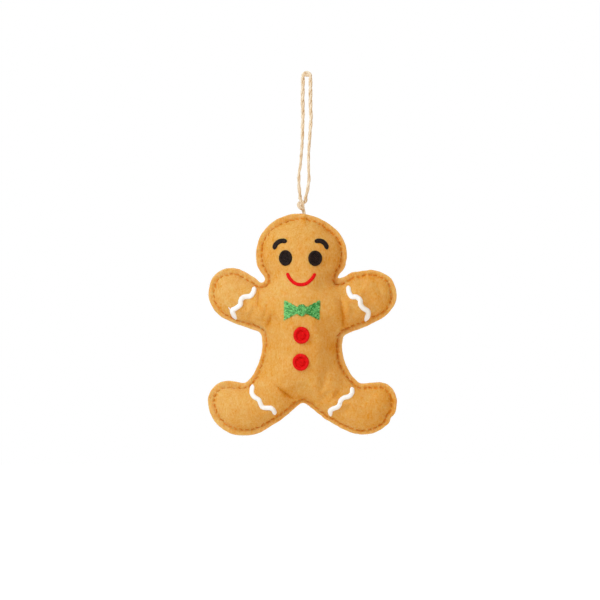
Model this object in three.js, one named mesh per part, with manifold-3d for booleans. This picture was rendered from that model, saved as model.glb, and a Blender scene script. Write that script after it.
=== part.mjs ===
import * as THREE from 'three';
import { ConvexHull } from 'three/addons/math/ConvexHull.js';
import { mergeVertices } from 'three/addons/utils/BufferGeometryUtils.js';
import Module from 'manifold-3d';

// A stuffed felt gingerbread man that hangs on a loop of jute twine: two felt panels sewn together round
// the edge over six wads of stuffing, with an embroidered face, bow tie, buttons and icing on the front.
// Millimetres, +Z up, the face looks along -Y, left and right are the viewer's.
// The origin is the underside of the loop's bight, where a hook carries the weight.

// Hanging twine
const TWINE_DIAMETER = 1.8;
const KNOT_WIDTH = 4;
const KNOT_DEPTH = 3.4;
const KNOT_HEIGHT = 5.2;
const KNOT_TURN_TILT = 30;
const STEM_FROM_KNOT = 0.7;
const STEM_LENGTH = 2.4;
const ANCHOR_LENGTH = 4.8;

// Felt, seam and stuffing
const FELT_THICKNESS = 1.4;
const SEAM_INSET = 3;
const LOFT_RATIO = 0.4;
const SEAM_THREAD = 0.6;

// Cut outline of a panel, right half: each corner's distance from the middle, its drop below the top
// of the head, and the radius that rounds it
const MIDDLE_X = -2.7;
const HEAD_HALF_WIDTH = 24.2;
const HEAD_HALF_HEIGHT = 22;
const HEAD_TURN = 122;
const NECK_OUT = 19.2;
const NECK_DROP = 36.2;
const NECK_ROUND = 0.8;
const HAND_TOP_OUT = 45;
const HAND_TOP_DROP = 24.6;
const HAND_TOP_ROUND = 14;
const HAND_LOW_OUT = 53.4;
const HAND_LOW_DROP = 50.9;
const HAND_LOW_ROUND = 16;
const ARMPIT_OUT = 21.6;
const ARMPIT_DROP = 64.4;
const ARMPIT_ROUND = 3.5;
const WAIST_OUT = 20.4;
const WAIST_DROP = 80;
const WAIST_ROUND = 26.5;
const HIP_OUT = 30.2;
const HIP_DROP = 90.2;
const HIP_ROUND = 4;
const FOOT_TOP_OUT = 51.2;
const FOOT_TOP_DROP = 87.7;
const FOOT_TOP_ROUND = 10.8;
const FOOT_LOW_OUT = 47.8;
const FOOT_LOW_DROP = 133.4;
const FOOT_LOW_ROUND = 19.8;
const CROTCH_DROP = 100.5;
const CROTCH_ROUND = 3;

// Embroidery, placed from the middle of the face and the top of the head
const STITCH_HEIGHT = 0.9;
const FACE_X = -0.7;
const EYE_SPACING = 15.8;
const EYE_DROP = 23.7;
const EYE_WIDTH = 7.1;
const EYE_HEIGHT = 8.4;
const EYE_BORDER = 1.3;
const BROW_SPACING = 17.5;
const BROW_DROP = 19.4;
const BROW_RADIUS = 4.9;
const BROW_FROM = 12;
const BROW_TO = 95;
const BROW_STROKE = 2.3;
const MOUTH_DROP = 30;
const MOUTH_RADIUS = 7.65;
const MOUTH_SPREAD = 72;
const MOUTH_STROKE = 1.9;
const TIE_X = 0.1;
const TIE_DROP = 51.4;
const TIE_WIDTH = 18.4;
const TIE_HEIGHT = 10;
const TIE_WAIST = 3.5;
const TIE_KNOT_WIDTH = 5;
const TIE_KNOT_HEIGHT = 6.3;
const BUTTON_X = -0.2;
const BUTTON_DIAMETER = 9;
const BUTTON_BORDER = 2;
const UPPER_BUTTON_DROP = 64.7;
const LOWER_BUTTON_DROP = 79;
const ICING_STROKE = 2.5;

// Icing waves of the right arm and leg: distance from the middle and drop below the top of the head
const ARM_ICING = [
  [24.8, 39.3], [25.3, 42.7], [28.5, 44.4], [31.8, 46.4], [32, 49.6], [35, 51.4], [36.2, 53.3], [34.9, 55],
];
const LEG_ICING = [
  [26.3, 92.2], [26.8, 95.6], [24.7, 97.9], [22, 99.5], [20.6, 102.2], [17.6, 103.6], [15.6, 104.2],
  [15.2, 105.8],
];

// Centreline of the twine loop, from the right of the knot over the bight to the left of the knot:
// distance along X and drop below the bight
const LOOP_ROUTE = [
  [-1.3, 65.8], [-1.2, 63.9], [0.3, 58.9], [0.9, 53.9], [0.95, 46.9], [1, 40.9], [1.4, 30.9], [1.8, 20.9],
  [2.25, 10.9], [2.55, 5.5], [2.6, 2.6], [2.25, 1.3], [1.3, 0.35], [0, 0], [-1.3, 0.35], [-2.25, 1.3],
  [-2.6, 2.6], [-2.5, 5.5], [-2.35, 10.9], [-2.35, 20.9], [-2.55, 30.9], [-2.9, 40.9], [-3.8, 47.9],
  [-4.35, 53.9], [-4.2, 58.9], [-3.75, 63.9], [-3.7, 65.8],
];

// Clearances between touching pieces
const GAP = 0.3;
const FILL_GAP = 0.6;
const STITCH_GAP = 0.5;
const SEAM_CLEARANCE = 0.7;

// Mesh fineness
const FINE_SPACING = 0.5;
const RING_SPACING = 4.2;
const INNER_RING = 2.6;
const GRID_SPACING = 6.5;
const GRID_CLEARANCE = 0.55 * GRID_SPACING;
const RELAX_SWEEPS = 500;
const TUBE_SIDES = 8;
const TUBE_STEP = 2 * TWINE_DIAMETER;
const KNOT_SEGMENTS = 12;
const STEM_ROUNDING = 4;
const STROKE_SIDES = 6;
const STROKE_STEP = 1.6;
const ARC_STEPS = 8;
const DISC_SEGMENTS = 18;
const WING_CELLS = 4;
const MERGE_DISTANCE = 1e-4;
const TINY = 1e-6;
const EDGE_SHARE = 0.999;

// Colour and roughness of each material
const FELT = { color: '#e3a34c', roughness: 0.95 };
const STUFFING = { color: '#f4f1ea', roughness: 1 };
const SEAM_COTTON = { color: '#c47a2e', roughness: 0.8 };
const BLACK_THREAD = { color: '#2b231e', roughness: 0.55 };
const RED_THREAD = { color: '#dd1e1c', roughness: 0.55 };
const GREEN_THREAD = { color: '#5fa65c', roughness: 0.55 };
const WHITE_THREAD = { color: '#fbf6f2', roughness: 0.55 };
const JUTE = { color: '#e6cda6', roughness: 0.9 };

const TWINE_RADIUS = TWINE_DIAMETER / 2;
const [LOOP_START, LOOP_END] = [LOOP_ROUTE[0], LOOP_ROUTE[LOOP_ROUTE.length - 1]];
const KNOT_X = (LOOP_START[0] + LOOP_END[0]) / 2;
const KNOT_Z = TWINE_RADIUS - Math.max(LOOP_START[1], LOOP_END[1]) - GAP - KNOT_HEIGHT / 2;
const STEM_X = KNOT_X + STEM_FROM_KNOT;
const HEAD_TOP_Z = KNOT_Z - KNOT_HEIGHT / 2 - STEM_LENGTH;
const BODY_REACH = HAND_LOW_OUT + FOOT_LOW_DROP;

const wasm = await Module();
wasm.setup();

const ornament = new THREE.Group();
ornament.position.set(MIDDLE_X, 0, HEAD_TOP_Z);
const hanger = new THREE.Group();
const felt_man_on_loop = new THREE.Group();
felt_man_on_loop.add(hanger, ornament);

function piece(group, name, geometry, look) {
  const mesh = new THREE.Mesh(geometry, new THREE.MeshStandardMaterial({ ...look, metalness: 0 }));
  mesh.name = name;
  group.add(mesh);
  return mesh;
}

// A geometry as one closed skin: shared vertices merged, flat triangles dropped, faces pointing out
function closedSkin(source) {
  const bare = source.clone();
  bare.deleteAttribute('normal');
  bare.deleteAttribute('uv');
  const merged = mergeVertices(bare, MERGE_DISTANCE);
  const position = merged.getAttribute('position');
  const corner = [0, 1, 2].map(() => new THREE.Vector3());
  const kept = [];
  let volume = 0;
  for (let i = 0; i < merged.index.count; i += 3) {
    const triangle = [0, 1, 2].map((k) => merged.index.getX(i + k));
    if (new Set(triangle).size < 3) continue;
    triangle.forEach((vertex, k) => corner[k].fromBufferAttribute(position, vertex));
    volume += corner[0].dot(corner[1].clone().cross(corner[2]));
    kept.push(triangle);
  }
  const facingOut = kept.map(([a, b, c]) => (volume > 0 ? [a, b, c] : [a, c, b]));
  merged.setIndex(facingOut.flat());
  return merged;
}

function toSolid(geometry) {
  const skin = closedSkin(geometry);
  const vertProperties = new Float32Array(skin.getAttribute('position').array);
  const triVerts = new Uint32Array(skin.index.array);
  return new wasm.Manifold(new wasm.Mesh({ numProp: 3, vertProperties, triVerts }));
}

function toGeometry(solid) {
  const mesh = solid.getMesh();
  const geometry = new THREE.BufferGeometry();
  geometry.setAttribute('position', new THREE.BufferAttribute(new Float32Array(mesh.vertProperties), 3));
  geometry.setIndex([...mesh.triVerts]);
  return geometry;
}

// Outline of a panel: straight cuts with rounded corners under a round head

function outlineCorners() {
  const side = [
    [NECK_OUT, -NECK_DROP, NECK_ROUND],
    [HAND_TOP_OUT, -HAND_TOP_DROP, HAND_TOP_ROUND],
    [HAND_LOW_OUT, -HAND_LOW_DROP, HAND_LOW_ROUND],
    [ARMPIT_OUT, -ARMPIT_DROP, ARMPIT_ROUND],
    [WAIST_OUT, -WAIST_DROP, WAIST_ROUND],
    [HIP_OUT, -HIP_DROP, HIP_ROUND],
    [FOOT_TOP_OUT, -FOOT_TOP_DROP, FOOT_TOP_ROUND],
    [FOOT_LOW_OUT, -FOOT_LOW_DROP, FOOT_LOW_ROUND],
  ];
  const headEnd = THREE.MathUtils.degToRad(90 - HEAD_TURN);
  const start = [HEAD_HALF_WIDTH * Math.cos(headEnd), HEAD_HALF_HEIGHT * (Math.sin(headEnd) - 1), 0];
  const mirrored = ([x, z, round]) => [-x, z, round];
  const right = [start, ...side];
  const left = right.map(mirrored).reverse();
  return [...right, [0, -CROTCH_DROP, CROTCH_ROUND], ...left];
}

// Rounding is shortened where two corners would need more of an edge than there is
function roundedShape() {
  const corners = outlineCorners();
  const at = corners.map(([x, z]) => new THREE.Vector2(x, z));
  const bend = corners.map(([, , round], i) => {
    if (round === 0) return null;
    const back = at[i - 1].clone().sub(at[i]);
    const ahead = at[i + 1].clone().sub(at[i]);
    const halfAngle = Math.acos(back.clone().normalize().dot(ahead.clone().normalize())) / 2;
    return { back, ahead, halfAngle, reach: round / Math.tan(halfAngle) };
  });
  const shares = at.slice(1).map((point, i) => {
    const wanted = (bend[i]?.reach ?? 0) + (bend[i + 1]?.reach ?? 0);
    return Math.min(1, point.distanceTo(at[i]) / Math.max(wanted, TINY));
  });
  const shape = new THREE.Shape();
  shape.moveTo(at[0].x, at[0].y);
  bend.forEach((corner, i) => {
    if (!corner) return;
    const reach = corner.reach * Math.min(shares[i - 1], shares[i]) * EDGE_SHARE;
    const radius = reach * Math.tan(corner.halfAngle);
    const from = at[i].clone().addScaledVector(corner.back.normalize(), reach);
    const middle = corner.back.clone().add(corner.ahead.normalize()).normalize();
    const centre = at[i].clone().addScaledVector(middle, radius / Math.sin(corner.halfAngle));
    const to = at[i].clone().addScaledVector(corner.ahead, reach);
    const clockwise = corner.back.cross(corner.ahead) > 0;
    shape.lineTo(from.x, from.y);
    const startAngle = Math.atan2(from.y - centre.y, from.x - centre.x);
    const endAngle = Math.atan2(to.y - centre.y, to.x - centre.x);
    shape.absarc(centre.x, centre.y, radius, startAngle, endAngle, clockwise);
  });
  const last = at[at.length - 1];
  shape.lineTo(last.x, last.y);
  const turn = THREE.MathUtils.degToRad(HEAD_TURN);
  shape.absellipse(
    0, -HEAD_HALF_HEIGHT, HEAD_HALF_WIDTH, HEAD_HALF_HEIGHT, Math.PI / 2 + turn, Math.PI / 2 - turn, true);
  return shape;
}

// Rings of points round the outline, anticlockwise seen from the front
const outlineShape = roundedShape();
const outlineLength = outlineShape.getLength();
const fineCount = Math.round(outlineLength / FINE_SPACING);
const fineRing = outlineShape.getSpacedPoints(fineCount).slice(0, fineCount).reverse();

function movedIn(ring, distance) {
  return ring.map((point, i) => {
    const before = ring[(i + ring.length - 1) % ring.length];
    const along = ring[(i + 1) % ring.length].clone().sub(before).normalize();
    return new THREE.Vector2(point.x - along.y * distance, point.y + along.x * distance);
  });
}

function outlineRing(inset) {
  const fine = movedIn(fineRing, inset);
  const path = new THREE.Shape([...fine, fine[0]]);
  const count = Math.round(path.getLength() / RING_SPACING);
  return path.getSpacedPoints(count).slice(0, count);
}

function isInside(point, ring) {
  let inside = false;
  ring.forEach((a, i) => {
    const b = ring[(i + 1) % ring.length];
    const crosses = a.y > point.y !== b.y > point.y;
    if (crosses && point.x < a.x + ((point.y - a.y) / (b.y - a.y)) * (b.x - a.x)) inside = !inside;
  });
  return inside;
}

function distanceToRing(point, ring) {
  const distances = ring.map((a, i) => {
    const edge = ring[(i + 1) % ring.length].clone().sub(a);
    const from = point.clone().sub(a);
    const share = THREE.MathUtils.clamp(from.dot(edge) / edge.lengthSq(), 0, 1);
    return from.addScaledVector(edge, -share).length();
  });
  return Math.min(...distances);
}

// Delaunay triangles inside a ring: the lower hull of the points lifted onto a paraboloid
function triangulate(points, ring) {
  const lifted = points.map((p) => new THREE.Vector3(p.x, p.y, p.lengthSq() / outlineLength));
  const numbers = new Map(lifted.map((point, i) => [point, i]));
  const triangles = [];
  for (const face of new ConvexHull().setFromPoints(lifted).faces) {
    if (face.normal.z >= 0) continue;
    const corners = [face.edge.prev, face.edge, face.edge.next].map((edge) => numbers.get(edge.head().point));
    const [a, b, c] = corners.map((number) => points[number]);
    const middle = a.clone().add(b).add(c).divideScalar(3);
    if (!isInside(middle, ring)) continue;
    const turnsLeft = b.clone().sub(a).cross(c.clone().sub(a)) > 0;
    triangles.push(turnsLeft ? corners : [corners[0], corners[2], corners[1]]);
  }
  return triangles;
}

// Stuffed height over the panel: the shape that an even pressure gives a skin held flat at the seam,
// rounded so that a round bag swells to LOFT_RATIO times its radius
function stuffedHeights(points, triangles, flatCount) {
  const links = points.map(() => new Map());
  const areas = points.map(() => 0);
  const link = (from, to, weight) => links[from].set(to, (links[from].get(to) ?? 0) + weight);
  for (const corners of triangles) {
    corners.forEach((apex, k) => {
      const [i, j] = [corners[(k + 1) % 3], corners[(k + 2) % 3]];
      const toI = points[i].clone().sub(points[apex]);
      const toJ = points[j].clone().sub(points[apex]);
      const doubleArea = Math.abs(toI.cross(toJ));
      const weight = toI.dot(toJ) / doubleArea / 2;
      link(i, j, weight);
      link(j, i, weight);
      areas[apex] += doubleArea / 6;
    });
  }
  const pressed = points.map(() => 0);
  for (let sweep = 0; sweep < RELAX_SWEEPS; sweep++) {
    for (let i = flatCount; i < points.length; i++) {
      let pull = areas[i];
      let stiffness = 0;
      for (const [j, weight] of links[i]) {
        pull += weight * pressed[j];
        stiffness += weight;
      }
      pressed[i] = pull / stiffness;
    }
  }
  return pressed.map((value) => LOFT_RATIO * Math.sqrt(4 * Math.max(value, 0)));
}

const rimRing = outlineRing(0);
const seamRing = outlineRing(SEAM_INSET);
const fillRing = outlineRing(SEAM_INSET + INNER_RING);

function gridPoints() {
  const clear = SEAM_INSET + INNER_RING + GRID_CLEARANCE;
  const rowHeight = (GRID_SPACING * Math.sqrt(3)) / 2;
  const box = new THREE.Box2().setFromPoints(rimRing);
  const points = [];
  for (let row = 0; box.min.y + row * rowHeight < box.max.y; row++) {
    const shift = (row % 2) / 2;
    const columns = Math.ceil(box.max.x / GRID_SPACING);
    for (let column = -columns; column < columns; column++) {
      const point = new THREE.Vector2((column + shift) * GRID_SPACING, box.min.y + row * rowHeight);
      if (isInside(point, rimRing) && distanceToRing(point, rimRing) > clear) points.push(point);
    }
  }
  return points;
}

const innerPoints = gridPoints();
const panelPoints = [...rimRing, ...seamRing, ...fillRing, ...innerPoints];
const panelTriangles = triangulate(panelPoints, rimRing);
const flatCount = rimRing.length + seamRing.length;
const heights = stuffedHeights(panelPoints, panelTriangles, flatCount);

// Height of the stuffed panel over any point of it
function heightAt(x, z) {
  const point = new THREE.Vector3(x, z, 0);
  const corner = (number) => new THREE.Vector3(panelPoints[number].x, panelPoints[number].y, 0);
  const shares = new THREE.Vector3();
  for (const numbers of panelTriangles) {
    const [a, b, c] = numbers.map(corner);
    THREE.Triangle.getBarycoord(point, a, b, c, shares);
    if (Math.min(shares.x, shares.y, shares.z) < -TINY) continue;
    return shares.x * heights[numbers[0]] + shares.y * heights[numbers[1]] + shares.z * heights[numbers[2]];
  }
  return 0;
}

// A closed slab between two heights over the same triangles, its rim being the first points
function slab(points, triangles, rimCount, lowDepths, highDepths) {
  const count = points.length;
  const positions = [];
  points.forEach((point, i) => positions.push(point.x, lowDepths[i], point.y));
  points.forEach((point, i) => positions.push(point.x, highDepths[i], point.y));
  const faces = [];
  for (const [a, b, c] of triangles) {
    faces.push(a, b, c);
    faces.push(count + a, count + c, count + b);
  }
  for (let i = 0; i < rimCount; i++) {
    const next = (i + 1) % rimCount;
    faces.push(next, i, count + i);
    faces.push(next, count + i, count + next);
  }
  const geometry = new THREE.BufferGeometry();
  geometry.setAttribute('position', new THREE.Float32BufferAttribute(positions, 3));
  geometry.setIndex(faces);
  return closedSkin(geometry);
}

// Felt panels, with a channel in the rim where the twine's sewn-in end lies between them

function roundBar(radius, bottom, top, x) {
  const bar = new THREE.CylinderGeometry(radius, radius, top - bottom, TUBE_SIDES);
  bar.rotateX(Math.PI / 2);
  bar.translate(x, 0, (bottom + top) / 2);
  return bar;
}

const stemFromMiddle = STEM_X - MIDDLE_X;
const channel = toSolid(roundBar(TWINE_RADIUS + GAP, -ANCHOR_LENGTH - GAP, TWINE_DIAMETER, stemFromMiddle));
const innerFace = heights.map((height) => GAP / 2 + height);
const outerFace = innerFace.map((depth) => depth + FELT_THICKNESS);
for (const [name, side] of [['front_panel', -1], ['back_panel', 1]]) {
  const low = outerFace.map((depth) => side * depth);
  const high = innerFace.map((depth) => side * depth);
  const felt = toSolid(slab(panelPoints, panelTriangles, rimRing.length, low, high));
  piece(ornament, name, toGeometry(felt.subtract(channel)), FELT);
}
piece(ornament, 'twine_anchor', roundBar(TWINE_RADIUS, -ANCHOR_LENGTH, 0, stemFromMiddle), JUTE);

// Stuffing: one filled form parted at the neck, shoulders and hips, the limbs cut by the head and torso

const fillDepths = heights.map((height) => Math.max(height - FILL_GAP, GAP / 2));
const fillExtrusion = { depth: BODY_REACH, bevelEnabled: false };
const fillPrism = new THREE.ExtrudeGeometry(new THREE.Shape(fillRing), fillExtrusion);
fillPrism.translate(0, 0, -BODY_REACH / 2);
fillPrism.rotateX(Math.PI / 2);
const fillFaces = [fillDepths.map((depth) => -depth), fillDepths];
const underFelt = slab(panelPoints, panelTriangles, rimRing.length, fillFaces[0], fillFaces[1]);
const fillForm = toSolid(underFelt).intersect(toSolid(fillPrism));

// Everything to the left of the line between two outline points and of its ends carried on by a stretch
function besideLine([fromX, fromZ], [toX, toZ], stretch, margin) {
  const along = new THREE.Vector2(toX - fromX, toZ - fromZ);
  const block = new THREE.BoxGeometry(along.length() + 2 * stretch, BODY_REACH, BODY_REACH);
  block.translate(0, 0, BODY_REACH / 2 + margin);
  block.rotateY(-along.angle());
  block.translate((fromX + toX) / 2, 0, (fromZ + toZ) / 2);
  return toSolid(block);
}

function headBlock(margin) {
  const block = new THREE.BoxGeometry(2 * (HEAD_HALF_WIDTH + margin), BODY_REACH, NECK_DROP);
  block.translate(0, 0, -NECK_DROP / 2 - margin);
  return toSolid(block);
}

function limbBlock(ends, stretch, side, margin) {
  const line = ends.map(([out, drop]) => [side * out, -drop]);
  const ordered = side > 0 ? line : line.reverse();
  const ownHalf = new THREE.BoxGeometry(BODY_REACH, BODY_REACH, 2 * BODY_REACH);
  ownHalf.translate((side * BODY_REACH) / 2, 0, 0);
  return besideLine(ordered[0], ordered[1], stretch, margin).intersect(toSolid(ownHalf));
}

const shoulderEnds = [[NECK_OUT, NECK_DROP], [ARMPIT_OUT, ARMPIT_DROP]];
const hipEnds = [[HIP_OUT, HIP_DROP], [0, CROTCH_DROP]];
const armBlock = (side, margin) => limbBlock(shoulderEnds, (ARMPIT_DROP - NECK_DROP) / 2, side, margin);
const legBlock = (side, margin) => limbBlock(hipEnds, HAND_LOW_OUT, side, margin);

let trunkFill = fillForm.subtract(headBlock(GAP));
piece(ornament, 'head_stuffing', toGeometry(fillForm.intersect(headBlock(0))), STUFFING);
for (const [name, side] of [['left', -1], ['right', 1]]) {
  const leg = fillForm.intersect(legBlock(side, GAP));
  piece(ornament, `${name}_leg_stuffing`, toGeometry(leg), STUFFING);
  trunkFill = trunkFill.subtract(legBlock(side, 0));
}
for (const [name, side] of [['left', -1], ['right', 1]]) {
  const arm = trunkFill.intersect(armBlock(side, GAP));
  piece(ornament, `${name}_arm_stuffing`, toGeometry(arm), STUFFING);
  trunkFill = trunkFill.subtract(armBlock(side, 0));
}
piece(ornament, 'torso_stuffing', toGeometry(trunkFill), STUFFING);

// Strokes: an oval section swept along a curve in the panel's plane

function ovalSection(thickness, width, sides) {
  const points = [];
  for (let i = 0; i < sides; i++) {
    const angle = ((i + 0.5) / sides) * 2 * Math.PI;
    points.push(new THREE.Vector2((thickness / 2) * Math.cos(angle), (width / 2) * Math.sin(angle)));
  }
  return new THREE.Shape(points);
}

function sweep(points, section, step) {
  const path = new THREE.CatmullRomCurve3(points.map(([x, z]) => new THREE.Vector3(x, 0, z)));
  const steps = Math.round(path.getLength() / step);
  return new THREE.ExtrudeGeometry(section, { extrudePath: path, steps });
}

// Seam threads all round the edge, needle thread on the front and bobbin thread on the back

function seamThread(depth) {
  const radius = SEAM_THREAD / 2;
  const line = outlineRing(SEAM_INSET - SEAM_CLEARANCE - radius);
  const section = [[-radius, 0], [0, -radius], [radius, 0], [0, radius]];
  const loops = section.map(([inwards]) => movedIn(line, inwards));
  const count = loops[0].length;
  const positions = loops.flatMap((loop, k) => {
    const loopDepth = depth + section[k][1];
    return loop.flatMap((point) => [point.x, loopDepth, point.y]);
  });
  const faces = loops.flatMap((loop, k) => loop.flatMap((point, i) => {
    const [a, b] = [k * count + i, k * count + ((i + 1) % count)];
    const [c, d] = [a, b].map((corner) => (corner + count) % (loops.length * count));
    return [a, b, c, b, d, c];
  }));
  const geometry = new THREE.BufferGeometry();
  geometry.setAttribute('position', new THREE.Float32BufferAttribute(positions, 3));
  geometry.setIndex(faces);
  return closedSkin(geometry);
}

for (const [name, side] of [['front_seam_thread', -1], ['back_seam_thread', 1]]) {
  const depth = side * (GAP / 2 + FELT_THICKNESS + GAP + SEAM_THREAD / 2);
  piece(ornament, name, seamThread(depth), SEAM_COTTON);
}

// Embroidery: each motif is shaped flat and then laid on the stuffed front

function draped(flat) {
  const geometry = closedSkin(flat);
  const position = geometry.getAttribute('position');
  for (let i = 0; i < position.count; i++) {
    const depth = GAP / 2 + FELT_THICKNESS + heightAt(position.getX(i), position.getZ(i)) + STITCH_GAP;
    position.setY(i, position.getY(i) - depth - STITCH_HEIGHT / 2);
  }
  return geometry;
}

function stroke(name, points, width, thread) {
  const section = ovalSection(STITCH_HEIGHT, width, STROKE_SIDES);
  piece(ornament, name, draped(sweep(points, section, STROKE_STEP)), thread);
}

function arcPoints(x, z, radius, fromDegrees, toDegrees) {
  const points = [];
  for (let i = 0; i <= ARC_STEPS; i++) {
    const angle = THREE.MathUtils.degToRad(THREE.MathUtils.lerp(fromDegrees, toDegrees, i / ARC_STEPS));
    points.push([x + radius * Math.cos(angle), z + radius * Math.sin(angle)]);
  }
  return points;
}

// A flat oval from its middle, or a ring where it has a hole, rounded over towards the edges
function oval(x, z, width, height, hole) {
  const low = -STITCH_HEIGHT / 2;
  const high = STITCH_HEIGHT / 2;
  const outer = width / 2;
  const rim = hole > 0 ? [[hole, high], [hole, low]] : [[0, high], [0, low]];
  const middle = (hole + outer) / 2;
  const profile = [[outer, low / 2], [outer, high / 2], [middle, high], ...rim, [middle, low]];
  const loop = hole > 0 ? [...profile, profile[0]] : [rim[1], [middle, low], ...profile.slice(0, 4)];
  const lathe = new THREE.LatheGeometry(loop.map(([r, y]) => new THREE.Vector2(r, y)), DISC_SEGMENTS);
  lathe.scale(1, 1, height / width);
  lathe.translate(x, 0, z);
  return draped(lathe);
}

function borderedDisc(name, x, z, width, height, border, thread) {
  const fillWidth = width - 2 * border - 2 * GAP;
  const fillHeight = (fillWidth * height) / width;
  piece(ornament, `${name}_border`, oval(x, z, width, height, width / 2 - border), thread);
  piece(ornament, `${name}_fill`, oval(x, z, fillWidth, fillHeight, 0), thread);
}

for (const [name, side] of [['left', -1], ['right', 1]]) {
  const eyeX = FACE_X + (side * EYE_SPACING) / 2;
  borderedDisc(`${name}_eye`, eyeX, -EYE_DROP, EYE_WIDTH, EYE_HEIGHT, EYE_BORDER, BLACK_THREAD);
  const brow = arcPoints(0, 0, BROW_RADIUS, BROW_FROM, BROW_TO);
  const browAt = brow.map(([x, z]) => [FACE_X + side * (BROW_SPACING / 2 + x), z - BROW_DROP]);
  stroke(`${name}_eyebrow`, browAt, BROW_STROKE, BLACK_THREAD);
  const mirrored = ([out, drop]) => [side * out, -drop];
  stroke(`${name}_arm_icing`, ARM_ICING.map(mirrored), ICING_STROKE, WHITE_THREAD);
  stroke(`${name}_leg_icing`, LEG_ICING.map(mirrored), ICING_STROKE, WHITE_THREAD);
}
const smile = arcPoints(FACE_X, -MOUTH_DROP, MOUTH_RADIUS, -90 - MOUTH_SPREAD, -90 + MOUTH_SPREAD);
stroke('mouth', smile, MOUTH_STROKE, RED_THREAD);
for (const [name, drop] of [['upper_button', UPPER_BUTTON_DROP], ['lower_button', LOWER_BUTTON_DROP]]) {
  borderedDisc(name, BUTTON_X, -drop, BUTTON_DIAMETER, BUTTON_DIAMETER, BUTTON_BORDER, RED_THREAD);
}

// Bow tie: two wings that widen from the knot
for (const [name, side] of [['bow_tie_left_wing', -1], ['bow_tie_right_wing', 1]]) {
  const start = TIE_KNOT_WIDTH / 2 + GAP;
  const length = TIE_WIDTH / 2 - start;
  const wing = new THREE.BoxGeometry(length, STITCH_HEIGHT, 1, WING_CELLS, 1, WING_CELLS);
  wing.translate(length / 2, 0, 0);
  const position = wing.getAttribute('position');
  for (let i = 0; i < position.count; i++) {
    const out = position.getX(i);
    const tall = THREE.MathUtils.lerp(TIE_WAIST, TIE_HEIGHT, out / length);
    position.setXYZ(i, TIE_X + side * (start + out), position.getY(i), position.getZ(i) * tall - TIE_DROP);
  }
  piece(ornament, name, draped(wing), GREEN_THREAD);
}
piece(ornament, 'bow_tie_knot', oval(TIE_X, -TIE_DROP, TIE_KNOT_WIDTH, TIE_KNOT_HEIGHT, 0), GREEN_THREAD);

// Twine: the loop, the knot that closes it and the short stem down to the seam

const twineSection = ovalSection(TWINE_DIAMETER, TWINE_DIAMETER, TUBE_SIDES);
const loopLine = LOOP_ROUTE.map(([x, drop]) => [x, TWINE_RADIUS - drop]);
piece(hanger, 'twine_loop', closedSkin(sweep(loopLine, twineSection, TUBE_STEP)), JUTE);

function knotTurn(tilt) {
  const turnRadius = KNOT_WIDTH / 2 - TWINE_RADIUS;
  const turn = new THREE.TorusGeometry(turnRadius, TWINE_RADIUS, TUBE_SIDES, KNOT_SEGMENTS);
  turn.scale(1, KNOT_HEIGHT / KNOT_WIDTH, KNOT_DEPTH / 2 / TWINE_DIAMETER);
  turn.rotateX(Math.PI / 2);
  turn.rotateY(THREE.MathUtils.degToRad(tilt));
  return toSolid(turn);
}

const knotCore = new THREE.SphereGeometry(0.5, TUBE_SIDES, TUBE_SIDES);
knotCore.rotateX(Math.PI / 2);
knotCore.scale(KNOT_WIDTH - TWINE_RADIUS, KNOT_DEPTH, KNOT_HEIGHT);
const knotSolid = toSolid(knotCore).add(knotTurn(KNOT_TURN_TILT)).add(knotTurn(-KNOT_TURN_TILT));
const knot = piece(hanger, 'twine_knot', toGeometry(knotSolid), JUTE);
knot.position.set(KNOT_X, 0, KNOT_Z);

const stemTop = STEM_LENGTH - GAP;
const stemProfile = [];
for (let i = 0; i <= STEM_ROUNDING; i++) {
  const angle = (i / STEM_ROUNDING) * (Math.PI / 2);
  const height = GAP + TWINE_RADIUS * (1 - Math.cos(angle));
  stemProfile.push(new THREE.Vector2(TWINE_RADIUS * Math.sin(angle), height));
}
stemProfile.push(new THREE.Vector2(TWINE_RADIUS, stemTop), new THREE.Vector2(0, stemTop));
const stemGeometry = new THREE.LatheGeometry(stemProfile, TUBE_SIDES).rotateX(Math.PI / 2);
const stem = piece(hanger, 'twine_stem', closedSkin(stemGeometry), JUTE);
stem.position.set(STEM_X, 0, HEAD_TOP_Z);

export default felt_man_on_loop;
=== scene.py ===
import random
from math import acos, atan2, cos, exp, inf, pi, radians, sin, sqrt, tan

import bmesh
import bpy
import numpy as np
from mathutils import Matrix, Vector, geometry, noise
from mathutils.bvhtree import BVHTree
from numpy.linalg import norm


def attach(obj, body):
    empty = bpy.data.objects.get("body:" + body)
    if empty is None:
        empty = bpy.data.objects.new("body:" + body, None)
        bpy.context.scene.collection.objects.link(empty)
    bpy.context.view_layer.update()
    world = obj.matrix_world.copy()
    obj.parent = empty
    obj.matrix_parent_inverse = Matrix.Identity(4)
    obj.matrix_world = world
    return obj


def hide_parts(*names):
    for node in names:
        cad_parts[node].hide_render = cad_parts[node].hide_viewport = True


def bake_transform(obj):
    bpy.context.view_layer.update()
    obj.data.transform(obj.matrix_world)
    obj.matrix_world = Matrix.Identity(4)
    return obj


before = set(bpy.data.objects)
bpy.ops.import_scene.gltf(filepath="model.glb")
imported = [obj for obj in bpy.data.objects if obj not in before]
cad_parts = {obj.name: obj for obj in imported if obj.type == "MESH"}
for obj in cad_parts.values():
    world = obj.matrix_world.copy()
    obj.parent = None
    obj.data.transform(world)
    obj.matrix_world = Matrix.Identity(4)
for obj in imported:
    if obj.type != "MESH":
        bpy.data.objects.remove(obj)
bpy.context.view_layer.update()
scene = bpy.context.scene

MM = 0.001

# Where the flat pattern's middle line and the head's top lie in the frame
PATTERN_X = -2.34
PATTERN_TOP = -72.62

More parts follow.
